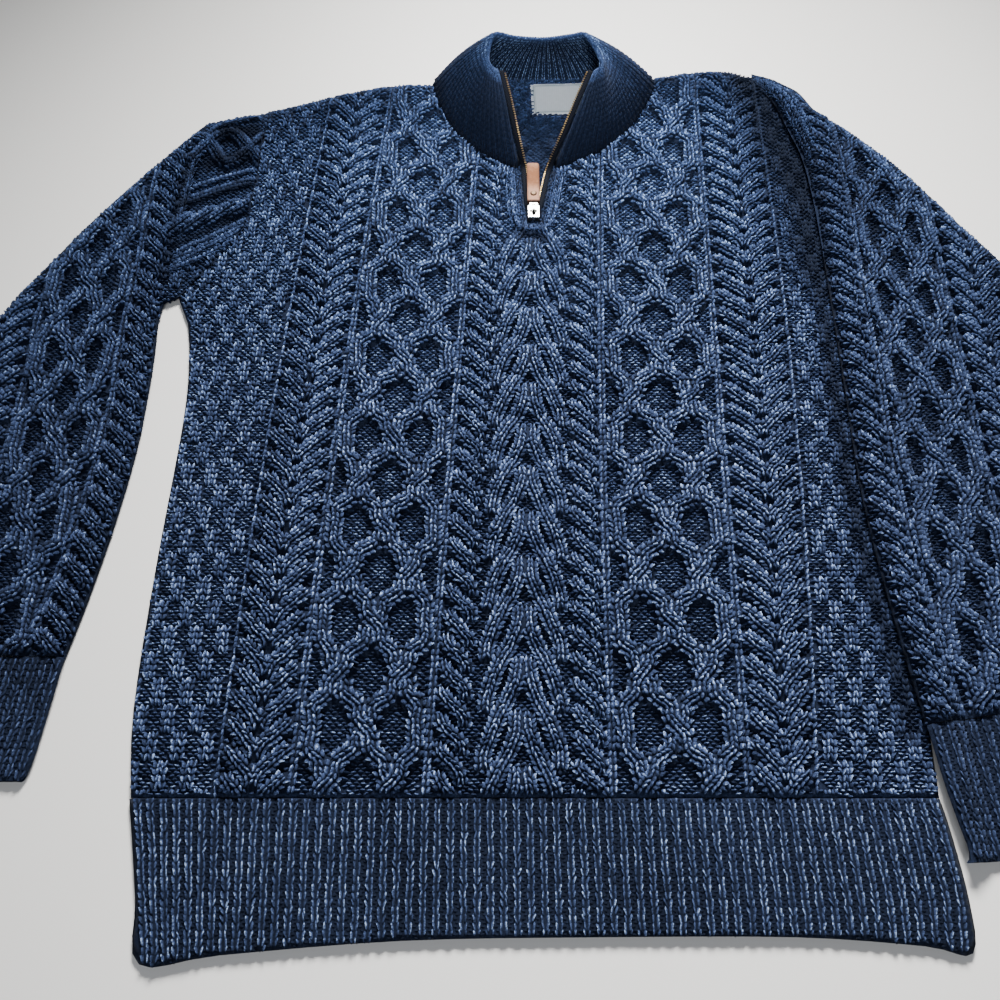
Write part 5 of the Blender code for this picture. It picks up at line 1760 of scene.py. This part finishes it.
def labelFinish(name):
    # satin weave; the band of border thread lies a little way in from the edge
    finish = Finish(name)
    x, y, z = finish.axes()
    weave = (x * 3600.0).sine() * 0.5 + (y * 5200.0).sine() * 0.5
    inwards = finish.kept("tone")
    border = (inwards > 0.115) * (inwards < 0.150) + (inwards > 0.185) * (inwards < 0.200)
    soft = finish.noise(300.0, 3.0)
    cloth = finish.blend((weave * 0.25 + soft * 0.7 + 0.1).held(), shade(label["cloth"], 0.78),
                         label["cloth"])
    finish.set(Base_Color=finish.blend(border.held(), cloth, label["thread"]), Roughness=0.55,
               Sheen_Weight=0.2)
    finish.bump(weave, 0.35, 0.0002)
    return finish.material


def makeLabel(look, threadLook):
    wide, tall = label["size"]
    cols, rows = 64, 52
    u, v = np.meshgrid(np.linspace(-1, 1, cols), np.linspace(-1, 1, rows))
    edge = np.minimum((1 - np.abs(u)) * wide / 2, (1 - np.abs(v)) * tall / 2)
    wave = 0.00018 * np.sin(u * 3.1 + v) * np.cos(v * 2.3)
    turn = math.radians(label["turn"])
    x, y = u * wide / 2, v * tall / 2

    def placed(x, y, middle=label["middle"]):
        return (middle[0] + x * math.cos(turn) - y * math.sin(turn),
                middle[1] + x * math.sin(turn) + y * math.cos(turn))

    px, py = placed(x, y)
    height = label["thick"] * (1 - 0.5 * roll(edge, 0.0012)) + wave
    top = np.stack([px, py, label["low"] + height], -1).reshape(-1, 3)
    bottom = np.stack([px, py, np.full(px.shape, label["low"])], -1).reshape(-1, 3)
    index = np.arange(cols * rows).reshape(rows, cols)
    a, b, c, d = index[:-1, :-1], index[:-1, 1:], index[1:, 1:], index[1:, :-1]
    upper = np.stack([a, b, c, d], -1).reshape(-1, 4)
    lower = upper[:, ::-1] + cols * rows
    rim = np.concatenate([index[0, :-1], index[:-1, -1], index[-1, :0:-1], index[:0:-1, 0]])
    after = np.roll(rim, -1)
    side = np.stack([rim, rim + cols * rows, after + cols * rows, after], -1)
    quads = np.vstack([upper, lower, side])
    tone = np.tile(np.clip(edge / 0.02, 0, 1).ravel(), 2)
    mesh = rawMesh("neck_label_cloth", np.vstack([top, bottom]), quads, ())
    cloth = dress("neck_label_cloth", mesh, look, tone=tone,
                  chart=np.tile(np.stack([x.ravel(), y.ravel()], -1), (2, 1)))
    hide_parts("neck_label")
    # the stitches that hold it
    found = []
    for k in np.arange(-0.46, 0.47, 0.04):
        for end in (-1, 1):
            found.append((k * wide, end * (tall / 2 - 0.0014), 1, 0))
            found.append((end * (wide / 2 - 0.0014), k * tall, 0, 1))
    found = np.array(found)
    fx, fy = placed(found[:, 0], found[:, 1])
    ax, ay = placed(found[:, 2], found[:, 3], (0.0, 0.0))
    sewn = Stitches()
    sewn.put(fx, fy, ax * 0.00062, ay * 0.00062, -ay * 0.00022, ax * 0.00022, 0.0003)
    flat = Sheet((0.0, 0.32), (0.07, 0.38))
    flat.settle(np.full(flat.x.shape, label["low"] + label["thick"]))
    return cloth, workStitches("neck_label_sewing", sewn, flat, threadLook, tones=(0.9, 1.0))


# Scene
setCamera()
setLight()
floor = bpy.data.objects.new("floor", rawMesh("floor", np.array(
    ((-6.0, -6.0, 0.0), (6.0, -6.0, 0.0), (6.0, 6.0, 0.0), (-6.0, 6.0, 0.0))), ((0, 1, 2, 3),), ()))
bpy.context.scene.collection.objects.link(floor)
floorFinish = Finish("pale_floor")
floorFinish.set(Base_Color=room["floor"], Roughness=0.75)
floor.data.materials.append(floorFinish.material)

knitWool = woolFinish("knit_wool_melange", 1.0)
ribWool = woolFinish("rib_wool_melange", 0.8)
frontSheet, frontStore, frontGround, frontPiece, frontPieces = makeBody(knitWool)
backPiece, backPieces = makeBack(knitWool, frontSheet, frontStore, frontGround)

armhole = smoothRun(leftArmhole, 4) + np.array((0.0010, 0.0))
leftOutline = loop(armhole, smoothRun(leftSleeveOuter, 4)[2:], smoothRun(leftSleeveInner, 4))
leftCuffLine = np.array((leftSleeveOuter[-1], leftSleeveInner[0]))
sleeveLeft = makeSleeve("sleeve_left", -1, leftOutline, leftSleeveInner, leftSleeveOuter, leftCuffLine,
                        armhole,
                        level, lambda x, y: (x > -0.2955) & (y > 0.125), knitWool)
rightOuter = rightShoulderEdge + rightSleeveOuter[2:]
rightFold = smoothRun(rightSleeveInner[:6] + rightShoulderFold, 4)
rightOutline = loop(rightFold, smoothRun(rightOuter, 4))
rightCuffLine = np.array((rightSleeveOuter[-1], rightSleeveInner[0]))
rightArmhole = rightFold[(rightFold[:, 1] > 0.140) & (rightFold[:, 1] < 0.318)]
sleeveRight = makeSleeve("sleeve_right", 1, rightOutline, rightSleeveInner, rightOuter, rightCuffLine,
                         rightArmhole, climbing, None, knitWool, rightFold)
hemFront, hemBack = makeHem(ribWool)
cuffs = makeCuffs(ribWool)
collarPiece, collarPieces = makeCollar(ribWool)

tapeWeave = wovenFinish("zip_tape_weave", tape["cloth"])
brassFinish = metalFinish("zip_teeth_brass", tape["brass"], 0.30, 0.35)
tapeLeft = makeTape("zip_tape_left", tapePathLeft, 0, 1, tapeWeave, brassFinish)
tapeRight = makeTape("zip_tape_right", tapePathRight, len(collarSeam) - 1, -1, tapeWeave, brassFinish)
labelPiece, labelSewing = makeLabel(labelFinish("label_satin"), wovenFinish("label_thread", label["sewing"]))
looks = {node: metalFinish(*values) for node, values in metals.items()}
looks["pull_tab"] = leatherFinish("tab_tan_leather")
for node, look in looks.items():
    for holder in frame["nodes"][node].material_slots:
        holder.material = look

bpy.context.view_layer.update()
faces = {o.name: sum(len(p.vertices) - 2 for p in o.data.polygons) for o in bpy.data.objects
         if o.type == "MESH" and not o.get("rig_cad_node")}
print("triangles", sum(faces.values()), sorted(faces.items(), key=lambda f: -f[1])[:8])
